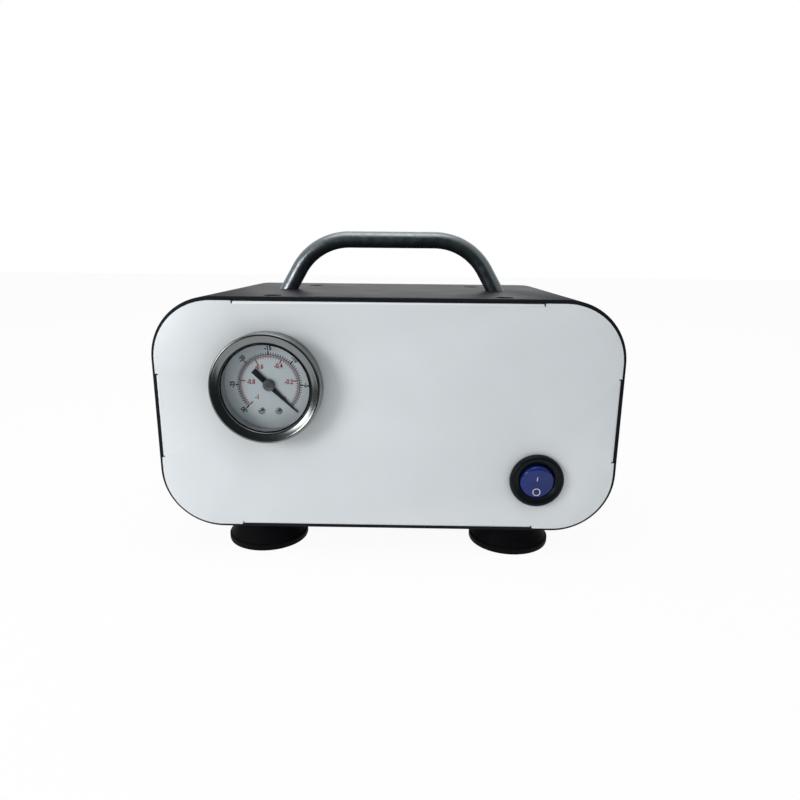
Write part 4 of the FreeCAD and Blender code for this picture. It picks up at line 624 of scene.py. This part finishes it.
def build_panels(context):
    """Front panel with its two round holes, and rear panel with slots, ports and inlet."""
    values = context.scene.pump_panel
    bend = values.bend / MM
    sheet = values.sheet / MM
    gauge = context.scene.pump_gauge
    switch = context.scene.pump_switch
    gauge_hole, switch_hole = 20.3, 10.2
    holes = []
    for group, radius in ((gauge, gauge_hole), (switch, switch_hole)):
        holes.append(round_hole(radius, group.across / MM, group.up / MM - MIDDLE, 96))
    front = panel_mesh("FrontPanel", holes, bend, sheet, top_flange=15.0)
    front.transform(Matrix.Translation(Vector((0.0, FRONT, MIDDLE)) * MM))
    settled("FrontPanel", front, "case", "panel", ["front_panel"], 25.0)

    port = context.scene.pump_rear
    port_hole = 5.1
    through = 4.0
    slot = rounded_outline(1.5, 20.0, 0.3, 4)
    slot_pitch, first_slot, slot_level = 7.0, -27.0, -4.0
    inlet_left, inlet_right, inlet_low, inlet_high = 62.45, 91.55, -28.2, 0.2
    holes = []
    for n in range(8):
        spot = (slot_pitch * n + first_slot, 0.0, slot_level)
        holes.append(prism("Slot", slot, -through, through, spot))
    for side in (-1, 1):
        holes.append(round_hole(port_hole, side * port.span / MM / 2.0, port.port / MM - MIDDLE, 48))
    inlet = [(inlet_left, inlet_low), (inlet_right, inlet_low),
             (inlet_right, inlet_high), (inlet_left, inlet_high)]
    holes.append(prism("Opening", inlet, -through, through))
    rear = panel_mesh("RearPanel", holes, bend, sheet, top_flange=30.0)
    rear.transform(Matrix.Rotation(math.pi, 4, "Z"))
    rear.transform(Matrix.Translation(Vector((0.0, REAR, MIDDLE)) * MM))
    settled("RearPanel", rear, "case", "panel", ["rear_panel"], 25.0)


def build_handle(context):
    """Round bar bent to a handle, its ends cut level with the case's top."""
    values = context.scene.pump_handle
    rise = values.rise / MM
    radius = values.bar / MM / 2.0
    bend = values.bend / MM
    half = values.span / MM / 2.0
    lean = math.radians(60.0)
    over = 8.0
    gap = 0.02
    steps = 18
    reach = bend * math.sin(lean)
    straight_rise = rise - bend * (1.0 - math.cos(lean))
    straight_reach = straight_rise * math.cos(lean) / math.sin(lean)
    flat = half - straight_reach - reach
    right = [(half + over * math.cos(lean) / math.sin(lean), -over)]
    for n in range(steps + 1):
        turn = lean * (1.0 - n / steps)
        right.append((flat + bend * math.sin(turn), rise - bend + bend * math.cos(turn)))
    left = [(-x, z) for x, z in reversed(right)]
    y = (FRONT + REAR) / 2.0
    path = [(x, y, z + TOP) for x, z in right + left]
    mesh = swept("Handle", path, radius, 40)
    work = bmesh.new()
    work.from_mesh(mesh)
    level = (TOP + gap) * MM
    cut = bmesh.ops.bisect_plane(work, geom=work.verts[:] + work.edges[:] + work.faces[:],
                                 plane_co=(0.0, 0.0, level), plane_no=(0.0, 0.0, 1.0), clear_inner=True)
    rims = [item for item in cut["geom_cut"] if isinstance(item, bmesh.types.BMEdge)]
    bmesh.ops.holes_fill(work, edges=rims)
    work.to_mesh(mesh)
    work.free()
    settled("Handle", mesh, "case", "handle", ["handle"], 40.0)


def build_feet(context):
    """Four rubber feet with a hollow waist, and the screw in each."""
    values = context.scene.pump_foot
    radius = values.radius / MM
    neck = values.neck / MM
    waist_low, waist_rise, waist_pull = 3.1, 8.4, 0.5
    shoulder = radius - 0.7
    profile = [(0.0, 5.0), (5.3, 5.0), (5.6, 4.7), (5.6, 0.4), (5.9, 0.0), (12.0, 0.0), (12.3, 0.4)]
    profile += [(13.7, 0.4), (14.0, 0.0), (shoulder, 0.0), (radius - 0.2, 0.25), (radius, 0.8)]
    profile += [(radius, 2.6), (radius - 0.25, 2.95), (shoulder, waist_low)]
    for n in range(1, 11):
        share = n / 10.0
        pull = math.sin(share * math.pi) * waist_pull
        across = shoulder + (neck + 0.2 - radius + 0.7) * share - pull
        profile.append((across, waist_low + waist_rise * share))
    profile += [(neck, 11.75), (neck - 0.4, 11.98), (0.0, 11.98)]
    feet = repeated("RubberFeet", profile, FOOT_SPOTS, "z", 72)
    settled("RubberFeet", feet, "case", "rubber", ["rubber_feet"], 30.0)
    head = [(0.0, 3.6), (1.4, 3.6), (1.5, 2.2), (3.6, 2.2), (4.2, 2.5), (4.4, 3.2), (4.4, 5.0), (0.0, 5.0)]
    settled("FootScrews", repeated("FootScrews", head, FOOT_SPOTS, "z", 40), "case", "steel")


def build_screws(context):
    """Countersunk screws of the case, each with a round socket."""
    profile = [(0.0, -1.9), (2.0, -1.9), (3.4, -0.55), (3.25, -0.45), (1.3, -0.45), (1.2, -0.52)]
    profile += [(1.2, -1.4), (0.0, -1.4)]
    screws = joined("CoverScrews", screw_shapes(profile, 48))
    settled("CoverScrews", screws, "case", "screw")


# Pieces of the gauge

# Both scales of the dial start low on the right at this many degrees and sweep to the left
SCALE_START = -45.0
SCALE_SWEEP = 270.0


def dial_point(radius, degrees, x, z):
    """Place on the dial at a radius and an angle about its middle."""
    angle = math.radians(degrees)
    return x + radius * math.cos(angle), z + radius * math.sin(angle)


def dial_bar(verts, faces, inner, outer, width, degrees, x, z, y):
    """One tick as a thin flat bar on the dial."""
    angle = math.radians(degrees)
    along_x, along_z = math.cos(angle), math.sin(angle)
    across_x, across_z = -along_z * width / 2.0, along_x * width / 2.0
    start = len(verts)
    for radius, side in ((inner, -1), (outer, -1), (outer, 1), (inner, 1)):
        verts.append((x + along_x * radius + across_x * side, y, z + along_z * radius + across_z * side))
    faces.append([start, start + 1, start + 2, start + 3])


def dial_arc(verts, faces, inner, outer, first, last, x, z, y, steps=90):
    """Thin flat ring or part of one, between two angles in degrees."""
    for n in range(steps + 1):
        degrees = first + (last - first) * n / steps
        for radius in (inner, outer):
            px, pz = dial_point(radius, degrees, x, z)
            verts.append((px, y, pz))
    start = len(verts) - 2 * (steps + 1)
    for n in range(steps):
        a = start + 2 * n
        faces.append([a, a + 1, a + 3, a + 2])


def dial_word(word, size, weight, radius, degrees, x, z, y, upright):
    """A number of the scale as a flat mesh; the weight thickens its strokes."""
    curve = bpy.data.curves.new("Number", "FONT")
    curve.body = word
    curve.size = size
    curve.offset = weight
    curve.align_x = "CENTER"
    curve.align_y = "CENTER"
    holder = bpy.data.objects.new("Number", curve)
    bpy.context.collection.objects.link(holder)
    bpy.context.view_layer.update()
    graph = bpy.context.evaluated_depsgraph_get()
    mesh = bpy.data.meshes.new_from_object(holder.evaluated_get(graph))
    bpy.data.objects.remove(holder)
    spin = 0.0 if upright else math.radians(degrees - 90.0)
    px, pz = dial_point(radius, degrees, x, z)
    narrow = 0.82
    mesh.transform(Matrix.Diagonal((narrow * MM, MM, MM, 1.0)))
    mesh.transform(Matrix.Rotation(spin, 4, "Z"))
    mesh.transform(Matrix.Rotation(math.pi / 2.0, 4, "X"))
    mesh.transform(Matrix.Translation(Vector((px, y, pz)) * MM))
    return mesh


def build_gauge_ring(x, z):
    """Ring with a round bead and a dished inner slope, and the black seal inside it."""
    front = FRONT - 8.0
    bead, bead_middle, bead_turn = 0.9, 21.85, 125.0
    slope_from, slope_width, slope_level, slope_drop, slope_curve = 21.3, 2.5, 0.22, 1.0, 1.2
    ring = [(20.05, FRONT), (22.4, FRONT), (22.75, FRONT - 0.3), (22.75, front + bead)]
    for n in range(1, 11):
        angle = math.radians(bead_turn * n / 10)
        ring.append((bead_middle + bead * math.cos(angle), front + bead - bead * math.sin(angle)))
    for n in range(1, 8):
        share = n / 8.0
        level = front + slope_level + slope_drop * share ** slope_curve
        ring.append((slope_from - slope_width * share, level))
    ring += [(18.7, front + 1.15), (18.5, front + 1.12), (18.35, front + 1.3), (18.3, front + 1.8)]
    ring += [(20.05, front + 1.8), (20.05, FRONT)]
    bezel = turned("GaugeBezel", ring, (x, 0.0, z), "y", 128)
    settled("GaugeBezel", bezel, "case", "polished", ["gauge_bezel"], 50.0)
    seal = [(17.85, 1.78), (17.85, 1.55), (18.28, 1.5), (18.28, 1.78), (17.85, 1.78)]
    settled("GaugeGasket", turned("GaugeGasket", seal, (x, front, z), "y", 96), "case", "rubber")


def build_scales(x, z):
    """Printed ticks, arcs and numbers: the black scale outside, the red one inside."""
    face = FRONT + 1.5 - 0.03
    red_face = face - 0.005
    end = SCALE_START + SCALE_SWEEP
    ticks = 60
    verts, faces = [], []
    for n in range(ticks + 1):
        outer, width = (14.1, 0.62) if n % 10 == 0 else (13.6, 0.34)
        degrees = SCALE_START + SCALE_SWEEP * n / ticks
        dial_bar(verts, faces, 12.55, outer, width, degrees, x, z, face)
    dial_arc(verts, faces, 12.44, 12.76, SCALE_START, end, x, z, face)
    meshes = [mesh_of("BlackScale", verts, faces)]
    size, weight, radius = 2.65, 0.1, 15.35
    for n in range(7):
        word = "0" if n == 0 else str(-5 * n)
        degrees = SCALE_START + 45.0 * n
        meshes.append(dial_word(word, size, weight, radius, degrees, x, z, face, False))
    settled("BlackScale", joined("BlackScale", meshes), "case", "print_black")

    ticks = 50
    verts, faces = [], []
    for n in range(ticks + 1):
        inner, width = (10.1, 0.5) if n % 10 == 0 else (11.15, 0.26)
        degrees = SCALE_START + SCALE_SWEEP * n / ticks
        dial_bar(verts, faces, inner, 12.1, width, degrees, x, z, red_face)
    dial_arc(verts, faces, 11.86, 12.16, SCALE_START, end, x, z, red_face)
    meshes = [mesh_of("RedScale", verts, faces)]
    words = (("0", 8.6), ("-0.2", 8.3), ("-0.4", 8.9), ("-0.6", 8.6), ("-0.8", 7.7), ("-1", 7.5))
    size, weight = 2.75, 0.085
    for n, (word, radius) in enumerate(words):
        degrees = SCALE_START + 54.0 * n
        meshes.append(dial_word(word, size, weight, radius, degrees, x, z, red_face, True))
    settled("RedScale", joined("RedScale", meshes), "case", "print_red")
    head = [(0.0, -0.62), (0.8, -0.58), (1.25, -0.4), (1.5, 0.0)]
    spots = [(x + side * 3.6, face, z - 11.2) for side in (-1, 1)]
    settled("DialScrews", repeated("DialScrews", head, spots, "y", 32), "case", "steel")


def build_pointer(x, z):
    """Flat pointer at the start of the scale, and the hub that turns with it."""
    low = FRONT + 0.5
    right = [(16.2, 0.16), (1.5, 1.05), (0.0, 1.15), (-8.8, 1.25)]
    blade = right + [(along, -across) for along, across in reversed(right)]
    pointer = bevelled(prism("Pointer", blade, 0.0, 0.4), 0.08)
    pointer.transform(Matrix.Rotation(math.radians(-SCALE_START), 4, "Y"))
    pointer.transform(Matrix.Translation(Vector((x, low, z)) * MM))
    settled("Pointer", pointer, "pointer", "pointer_paint", ["gauge_pointer"])
    cap = [(0.0, -0.55), (0.5, -0.55), (0.6, -0.75), (1.7, -0.75), (2.3, -0.6), (2.5, -0.35)]
    cap += [(2.5, 0.9), (0.8, 0.9), (0.8, 9.0), (0.0, 9.0)]
    settled("PointerHub", turned("PointerHub", cap, (x, low, z), "y", 48), "pointer", "hub")


def build_gauge(context):
    """Ring, seal, glass, can, printed dial and pointer of the gauge."""
    values = context.scene.pump_gauge
    x = values.across / MM
    z = values.up / MM
    build_gauge_ring(x, z)
    dress_node("gauge_window", "glass")
    dress_node("gauge_can", "steel")
    dress_node("gauge_dial", "dial")
    build_scales(x, z)
    build_pointer(x, z)


# Pieces of the switch

# Each half of the rocker slopes by this many degrees from its middle, which stands this far forward
ROCKER_SLOPE = 8.0
ROCKER_FACE = -1.9


def rocker_mesh():
    """Round rocker with two sloping halves, before it is pressed to one side."""
    slope = math.tan(math.radians(ROCKER_SLOPE))
    rows = 14
    steps = 96
    radius_full, radius_back = 7.15, 5.5
    edge_from, edge_fall = 6.6, 1.2
    soft_width = 0.5
    crown_fall, rim_square, rim_flat, rim_lap = 0.7, 51.0, 0.9, 0.35
    verts = [(0.0, ROCKER_FACE, 0.0)]
    for row in range(1, rows + 1):
        share = row / rows
        radius = radius_full * math.sin(share * math.pi / 2.0)
        for n in range(steps):
            angle = 2.0 * math.pi * n / steps
            px = radius * math.cos(angle)
            pz = radius * math.sin(angle)
            soft = math.sqrt(pz * pz + soft_width * soft_width) - soft_width
            edge = max(0.0, radius - edge_from)
            crown = max(0.0, pz - rim_flat * math.sqrt(max(0.0, rim_square - px * px)) + rim_lap)
            top = ROCKER_FACE - soft * slope
            verts.append((px, top + edge * edge * edge_fall + crown * crown_fall, pz))
    for level, radius in ((0.6, radius_full), (4.0, radius_back)):
        for n in range(steps):
            angle = 2.0 * math.pi * n / steps
            verts.append((radius * math.cos(angle), level, radius * math.sin(angle)))
    faces = [[0, 1 + n, 1 + (n + 1) % steps] for n in range(steps)]
    for row in range(rows + 1):
        base = 1 + row * steps
        faces += ring_faces(base, base + steps, steps)
    faces.append([1 + (rows + 1) * steps + n for n in range(steps)])
    return mesh_of("Rocker", verts, faces)


def marks_mesh():
    """Bar on the upper half and ring on the lower one, each laid on its own slope."""
    bar = [(-0.15, 0.45), (0.15, 0.45), (0.15, 2.5), (-0.15, 2.5)]
    upper = prism("BarMark", bar, -0.03, 0.05)
    verts, faces = [], []
    dial_arc(verts, faces, 1.32, 1.68, 0.0, 360.0, 0.0, -4.6, -0.03, 48)
    lower = mesh_of("RingMark", verts, faces)
    for mark, slope in ((upper, ROCKER_SLOPE), (lower, -ROCKER_SLOPE)):
        mark.transform(Matrix.Rotation(math.radians(slope), 4, "X"))
        mark.transform(Matrix.Translation(Vector((0.0, ROCKER_FACE, 0.0)) * MM))
    return joined("RockerMarks", [upper, lower])


def build_switch(context):
    """Round housing with the blue rocker and its two marks."""
    values = context.scene.pump_switch
    x = values.across / MM
    z = values.up / MM
    ring = [(0.0, 20.0), (0.0, 9.0), (7.5, 9.0), (7.5, -1.2), (7.65, -1.45), (9.6, -2.5), (10.1, -2.6)]
    ring += [(10.7, -2.45), (11.2, -1.95), (11.45, -1.3), (11.5, -0.9), (11.5, 0.0), (9.9, 0.0)]
    ring += [(9.9, 20.0), (0.0, 20.0)]
    housing = turned("SwitchHousing", ring, (x, FRONT, z), "y", 112)
    settled("SwitchHousing", housing, "case", "housing", ["switch_housing"], 40.0)
    pressed = Matrix.Rotation(math.radians(ROCKER_SLOPE), 4, "X")
    home = Matrix.Translation(Vector((x, FRONT + 0.2, z)) * MM)
    rocker = rocker_mesh()
    rocker.transform(home @ pressed)
    settled("Rocker", rocker, "rocker", "blue", ["switch_rocker"], 30.0)
    marks = marks_mesh()
    marks.transform(home @ pressed)
    settled("RockerMarks", marks, "rocker", "mark")
    dress_node("switch_terminals", "brass")


# Pieces of the rear

# How the profile of both ports starts and ends, as (radius, distance behind the panel)
PORT_THREAD = [(1.2, -16.0), (2.0, -16.0), (2.0, -10.0), (4.9, -10.0), (4.9, 0.0), (4.0, 0.0)]
PORT_BORE = [(2.2, 22.0), (2.2, 0.0), (1.2, 0.0), (1.2, -16.0)]


def port_mesh(name, profile, x, z):
    """Port turned from thread, outside and bore, with a hexagon for the spanner."""
    corner_radius = 7.6
    corners = []
    for n in range(6):
        angle = math.radians(60.0 * n)
        corners.append((corner_radius * math.cos(angle), corner_radius * math.sin(angle)))
    hexagon = prism("Hexagon", corners, REAR + 0.02, REAR + 4.0, (x, 0.0, z))
    body = turned("Port", PORT_THREAD + profile + PORT_BORE, (x, REAR, z), "y", 64)
    return joined(name, [body, bevelled(hexagon, 0.35)])


def build_rear(context):
    """Suction nozzle, silencer, mains inlet and its screws."""
    values = context.scene.pump_rear
    z = values.port / MM
    half = values.span / MM / 2.0
    barb_pitch, barb_count = 3.7, 4
    profile = [(4.0, 5.4)]
    for n in range(barb_count):
        low = 6.0 + barb_pitch * n
        profile += [(4.0, low), (3.45, low + 0.5), (3.45, low + 1.5), (4.0, low + 3.0)]
    profile += [(4.0, 21.2), (3.75, 21.8), (3.2, 22.0)]
    nozzle = port_mesh("SuctionNozzle", profile, -half, z)
    settled("SuctionNozzle", nozzle, "case", "brass", ["suction_fitting"])
    profile = [(4.0, 4.0), (6.0, 4.0), (6.4, 4.4), (6.4, 6.0), (6.1, 6.2), (6.1, 6.6), (6.4, 6.8)]
    profile += [(6.4, 19.0), (6.1, 20.1), (5.2, 21.3), (4.0, 22.0)]
    silencer = port_mesh("Silencer", profile, half, z)
    settled("Silencer", silencer, "case", "bronze", ["exhaust_silencer"])
    dress_node("port_nuts", "brass")
    dress_node("inlet_socket", "socket")
    dress_node("inlet_pins", "brass")
    dress_node("fuse_drawer", "socket")
    dress_node("fuse", "fuse_glass")
    inlet_x, inlet_z, screw_reach = -77.0, 48.0, 20.0
    head = [(0.0, 2.6), (1.0, 2.6), (1.1, 3.9), (2.1, 3.7), (2.8, 3.0), (2.8, 2.5)]
    spots = [(inlet_x, REAR, inlet_z + side * screw_reach) for side in (-1, 1)]
    settled("InletScrews", repeated("InletScrews", head, spots, "y", 40), "case", "steel")


# Pieces inside the case

# Finishes of the single nodes, and of those that stand on the left and on the right
INSIDE = {
    "base_tray": "steel", "vibration_mounts": "rubber", "gauge_movement": "brass",
    "gauge_socket": "brass", "gauge_tube": "brass", "gauge_clamp": "steel",
    "pump_hoses": "hose", "gauge_hose": "hose", "motor_stator": "stack", "motor_windings": "copper",
    "motor_shaft": "steel", "rotor_core": "stack", "main_bearings": "steel",
    "umbrella_valves": "rubber", "cooling_fan": "socket", "motor_capacitor": "grey",
}
TWINS = {
    "crankcase": "cast", "eccentric": "steel", "rod_bearing": "steel", "rod": "cast",
    "clamp_disc": "steel", "diaphragm": "rubber", "valve_plate": "cast", "head": "cast",
}


def build_inside(context):
    """Give the pump inside the case its finishes."""
    for node, finish in INSIDE.items():
        dress_node(node, finish)
    for side in ("left", "right"):
        for node, finish in TWINS.items():
            dress_node("%s_%s" % (side, node), finish)


# Stage

# Lamps: name, place and width in millimetres, power in watts
LAMPS = (
    ("Key", (-390.0, -350.0, 190.0), 200.0, 0.92),
    ("Fill", (700.0, -500.0, 420.0), 500.0, 0.3),
    ("Top", (-60.0, -150.0, 900.0), 600.0, 2.3),
    ("Back", (0.0, 900.0, 500.0), 600.0, 1.0),
)
WHITE = (1.0, 1.0, 1.0)


def larger(tree, first, second):
    """The larger of two numbers."""
    node = tree.nodes.new("ShaderNodeMath")
    node.operation = "MAXIMUM"
    tree.links.new(first, node.inputs[0])
    tree.links.new(second, node.inputs[1])
    return node.outputs["Value"]


def mixed(tree, share, first, second):
    """A share of the way from one colour to another, each given as numbers or as an output."""
    node = tree.nodes.new("ShaderNodeMix")
    node.data_type = "RGBA"
    tree.links.new(share, node.inputs["Factor"])
    for side, colour in (("A", first), ("B", second)):
        if isinstance(colour, tuple):
            node.inputs[side].default_value = (*colour, 1.0)
        else:
            tree.links.new(colour, node.inputs[side])
    return node.outputs["Result"]


def place_camera(scene, focal_length):
    """Camera at the photograph's viewing angle, with a slight roll."""
    yaw = math.radians(0.748)
    pitch = math.radians(13.861)
    roll = math.radians(0.550)
    spot = Vector((8.40, -304.91, 130.21)) * MM
    turn = Matrix.Rotation(yaw, 3, "Z")
    forward = turn @ Vector((0.0, math.cos(pitch), -math.sin(pitch)))
    up = turn @ Vector((0.0, math.sin(pitch), math.cos(pitch)))
    right = turn @ Vector((1.0, 0.0, 0.0))
    right_rolled = right * math.cos(roll) + up * math.sin(roll)
    up_rolled = -right * math.sin(roll) + up * math.cos(roll)
    lens = bpy.data.cameras.new("Camera")
    lens.lens = focal_length
    lens.sensor_width = 36.0
    lens.clip_start = 0.01
    camera = bpy.data.objects.new("Camera", lens)
    scene.collection.objects.link(camera)
    basis = Matrix((right_rolled, up_rolled, -forward)).transposed().to_4x4()
    camera.matrix_world = Matrix.Translation(spot) @ basis
    scene.camera = camera


def make_world(scene):
    """World that is white to the camera and through glass, and dark in front for gloss."""
    ambient = (0.45, 0.462, 0.472)
    dark_side = (0.035, 0.045, 0.05)
    bright_side = (-0.08, 0.5, 0.42)
    world = bpy.data.worlds.new("Studio")
    world.use_nodes = True
    tree = world.node_tree
    back = tree.nodes["Background"]
    back.inputs["Strength"].default_value = 1.0
    path = tree.nodes.new("ShaderNodeLightPath")
    toward = tree.nodes.new("ShaderNodeTexCoord")
    tilt = tree.nodes.new("ShaderNodeVectorMath")
    tilt.operation = "DOT_PRODUCT"
    tilt.inputs[1].default_value = bright_side
    tree.links.new(toward.outputs["Generated"], tilt.inputs[0])
    level = tree.nodes.new("ShaderNodeMapRange")
    level.inputs["From Min"].default_value = -0.22
    level.inputs["From Max"].default_value = 0.62
    tree.links.new(tilt.outputs["Value"], level.inputs["Value"])
    room = mixed(tree, level.outputs["Result"], dark_side, WHITE)
    lit = mixed(tree, path.outputs["Is Glossy Ray"], ambient, room)
    seen = larger(tree, path.outputs["Is Camera Ray"], path.outputs["Is Transmission Ray"])
    tree.links.new(mixed(tree, seen, lit, WHITE), back.inputs["Color"])
    scene.world = world


def lay_floor(scene, white):
    """Pale paper that is nearly white to rays that see the background, and keeps the shadow."""
    near, far, half = -225, 3000, 3000
    glow_share = 0.95
    corners = [(-half, near, 0), (half, near, 0), (half, far, 0), (-half, far, 0)]
    mesh = mesh_of("Floor", corners, [[0, 1, 2, 3]])
    floor = bpy.data.objects.new("Floor", mesh)
    scene.collection.objects.link(floor)
    material = base_material("FloorPaper", (white,) * 3, 0.8)[0]
    tree = material.node_tree
    path = tree.nodes.new("ShaderNodeLightPath")
    seen = larger(tree, path.outputs["Is Camera Ray"], path.outputs["Is Transmission Ray"])
    mirrored = larger(tree, seen, path.outputs["Is Glossy Ray"])
    share = tree.nodes.new("ShaderNodeMath")
    share.operation = "MULTIPLY"
    share.inputs[1].default_value = glow_share
    glow = tree.nodes.new("ShaderNodeEmission")
    both = tree.nodes.new("ShaderNodeMixShader")
    tree.links.new(mirrored, share.inputs[0])
    tree.links.new(share.outputs["Value"], both.inputs["Fac"])
    tree.links.new(tree.nodes["Principled BSDF"].outputs["BSDF"], both.inputs[1])
    tree.links.new(glow.outputs["Emission"], both.inputs[2])
    tree.links.new(both.outputs["Shader"], tree.nodes["Material Output"].inputs["Surface"])
    mesh.materials.append(material)


def hang_lamps(scene):
    """Soft square lamps that all face the object's middle."""
    middle = Vector((0.0, 0.0, 0.06))
    for name, where, width, power in LAMPS:
        lamp = bpy.data.lights.new(name, "AREA")
        lamp.shape = "SQUARE"
        lamp.size = width * MM
        lamp.energy = power
        holder = bpy.data.objects.new(name, lamp)
        spot = Vector(where) * MM
        holder.location = spot
        holder.rotation_euler = (middle - spot).to_track_quat("-Z", "Y").to_euler()
        scene.collection.objects.link(holder)


def build_stage(context):
    """Camera, world, floor and lamps."""
    values = context.scene.pump_stage
    place_camera(context.scene, values.lens)
    make_world(context.scene)
    lay_floor(context.scene, values.white)
    hang_lamps(context.scene)


# Operators


class PUMP_OT_stage(bpy.types.Operator):
    """Add the camera, floor, world and lamps"""

    bl_idname = "pump.stage"
    bl_label = "Stage"
    bl_options = {"REGISTER", "UNDO"}

    def execute(self, context):
        build_stage(context)
        return {"FINISHED"}


class PUMP_OT_case(bpy.types.Operator):
    """Build the wrapped case"""

    bl_idname = "pump.case"
    bl_label = "Case"
    bl_options = {"REGISTER", "UNDO"}

    def execute(self, context):
        build_case(context)
        return {"FINISHED"}


class PUMP_OT_panels(bpy.types.Operator):
    """Build the front and rear panels"""

    bl_idname = "pump.panels"
    bl_label = "Panels"
    bl_options = {"REGISTER", "UNDO"}

    def execute(self, context):
        build_panels(context)
        return {"FINISHED"}


class PUMP_OT_handle(bpy.types.Operator):
    """Build the bent handle"""

    bl_idname = "pump.handle"
    bl_label = "Handle"
    bl_options = {"REGISTER", "UNDO"}

    def execute(self, context):
        build_handle(context)
        return {"FINISHED"}


class PUMP_OT_feet(bpy.types.Operator):
    """Build the rubber feet and their screws"""

    bl_idname = "pump.feet"
    bl_label = "Feet"
    bl_options = {"REGISTER", "UNDO"}

    def execute(self, context):
        build_feet(context)
        return {"FINISHED"}


class PUMP_OT_screws(bpy.types.Operator):
    """Build the countersunk case screws"""

    bl_idname = "pump.screws"
    bl_label = "Case screws"
    bl_options = {"REGISTER", "UNDO"}

    def execute(self, context):
        build_screws(context)
        return {"FINISHED"}


class PUMP_OT_gauge(bpy.types.Operator):
    """Build the vacuum gauge and its pointer"""

    bl_idname = "pump.gauge"
    bl_label = "Gauge"
    bl_options = {"REGISTER", "UNDO"}

    def execute(self, context):
        build_gauge(context)
        return {"FINISHED"}


class PUMP_OT_switch(bpy.types.Operator):
    """Build the rocker switch"""

    bl_idname = "pump.switch"
    bl_label = "Switch"
    bl_options = {"REGISTER", "UNDO"}

    def execute(self, context):
        build_switch(context)
        return {"FINISHED"}


class PUMP_OT_rear(bpy.types.Operator):
    """Build the ports and dress the mains inlet"""

    bl_idname = "pump.rear"
    bl_label = "Rear fittings"
    bl_options = {"REGISTER", "UNDO"}

    def execute(self, context):
        build_rear(context)
        return {"FINISHED"}


class PUMP_OT_inside(bpy.types.Operator):
    """Dress the pump inside the case"""

    bl_idname = "pump.inside"
    bl_label = "Inside"
    bl_options = {"REGISTER", "UNDO"}

    def execute(self, context):
        build_inside(context)
        return {"FINISHED"}


OPERATORS = [PUMP_OT_stage, PUMP_OT_case, PUMP_OT_panels, PUMP_OT_handle, PUMP_OT_feet,
             PUMP_OT_screws, PUMP_OT_gauge, PUMP_OT_switch, PUMP_OT_rear, PUMP_OT_inside]
SETTINGS = [
    ("pump_case", PumpCaseSettings), ("pump_panel", PumpPanelSettings),
    ("pump_handle", PumpHandleSettings), ("pump_foot", PumpFootSettings),
    ("pump_gauge", PumpGaugeSettings), ("pump_switch", PumpSwitchSettings),
    ("pump_rear", PumpRearSettings), ("pump_stage", PumpStageSettings),
]


class PUMP_PT_sidebar(bpy.types.Panel):
    """Settings and build buttons of the pump."""

    bl_label = "Pump"
    bl_space_type = "VIEW_3D"
    bl_region_type = "UI"
    bl_category = "Pump"

    def draw(self, context):
        for name, group in SETTINGS:
            box = self.layout.box()
            for item in group.__annotations__:
                box.prop(getattr(context.scene, name), item)
        for item in OPERATORS:
            self.layout.operator(item.bl_idname)


def register():
    for name, group in SETTINGS:
        bpy.utils.register_class(group)
        setattr(bpy.types.Scene, name, bpy.props.PointerProperty(type=group))
    for item in OPERATORS + [PUMP_PT_sidebar]:
        bpy.utils.register_class(item)


def unregister():
    for item in reversed(OPERATORS + [PUMP_PT_sidebar]):
        bpy.utils.unregister_class(item)
    for name, group in reversed(SETTINGS):
        delattr(bpy.types.Scene, name)
        bpy.utils.unregister_class(group)


def main():
    register()
    bpy.context.scene.view_settings.view_transform = "Standard"
    make_materials()
    for item in OPERATORS:
        group, name = item.bl_idname.split(".")
        result = getattr(getattr(bpy.ops, group), name)()
        if "FINISHED" not in result:
            raise RuntimeError("this step did not finish: " + item.bl_label)


if __name__ == "__main__":
    main()
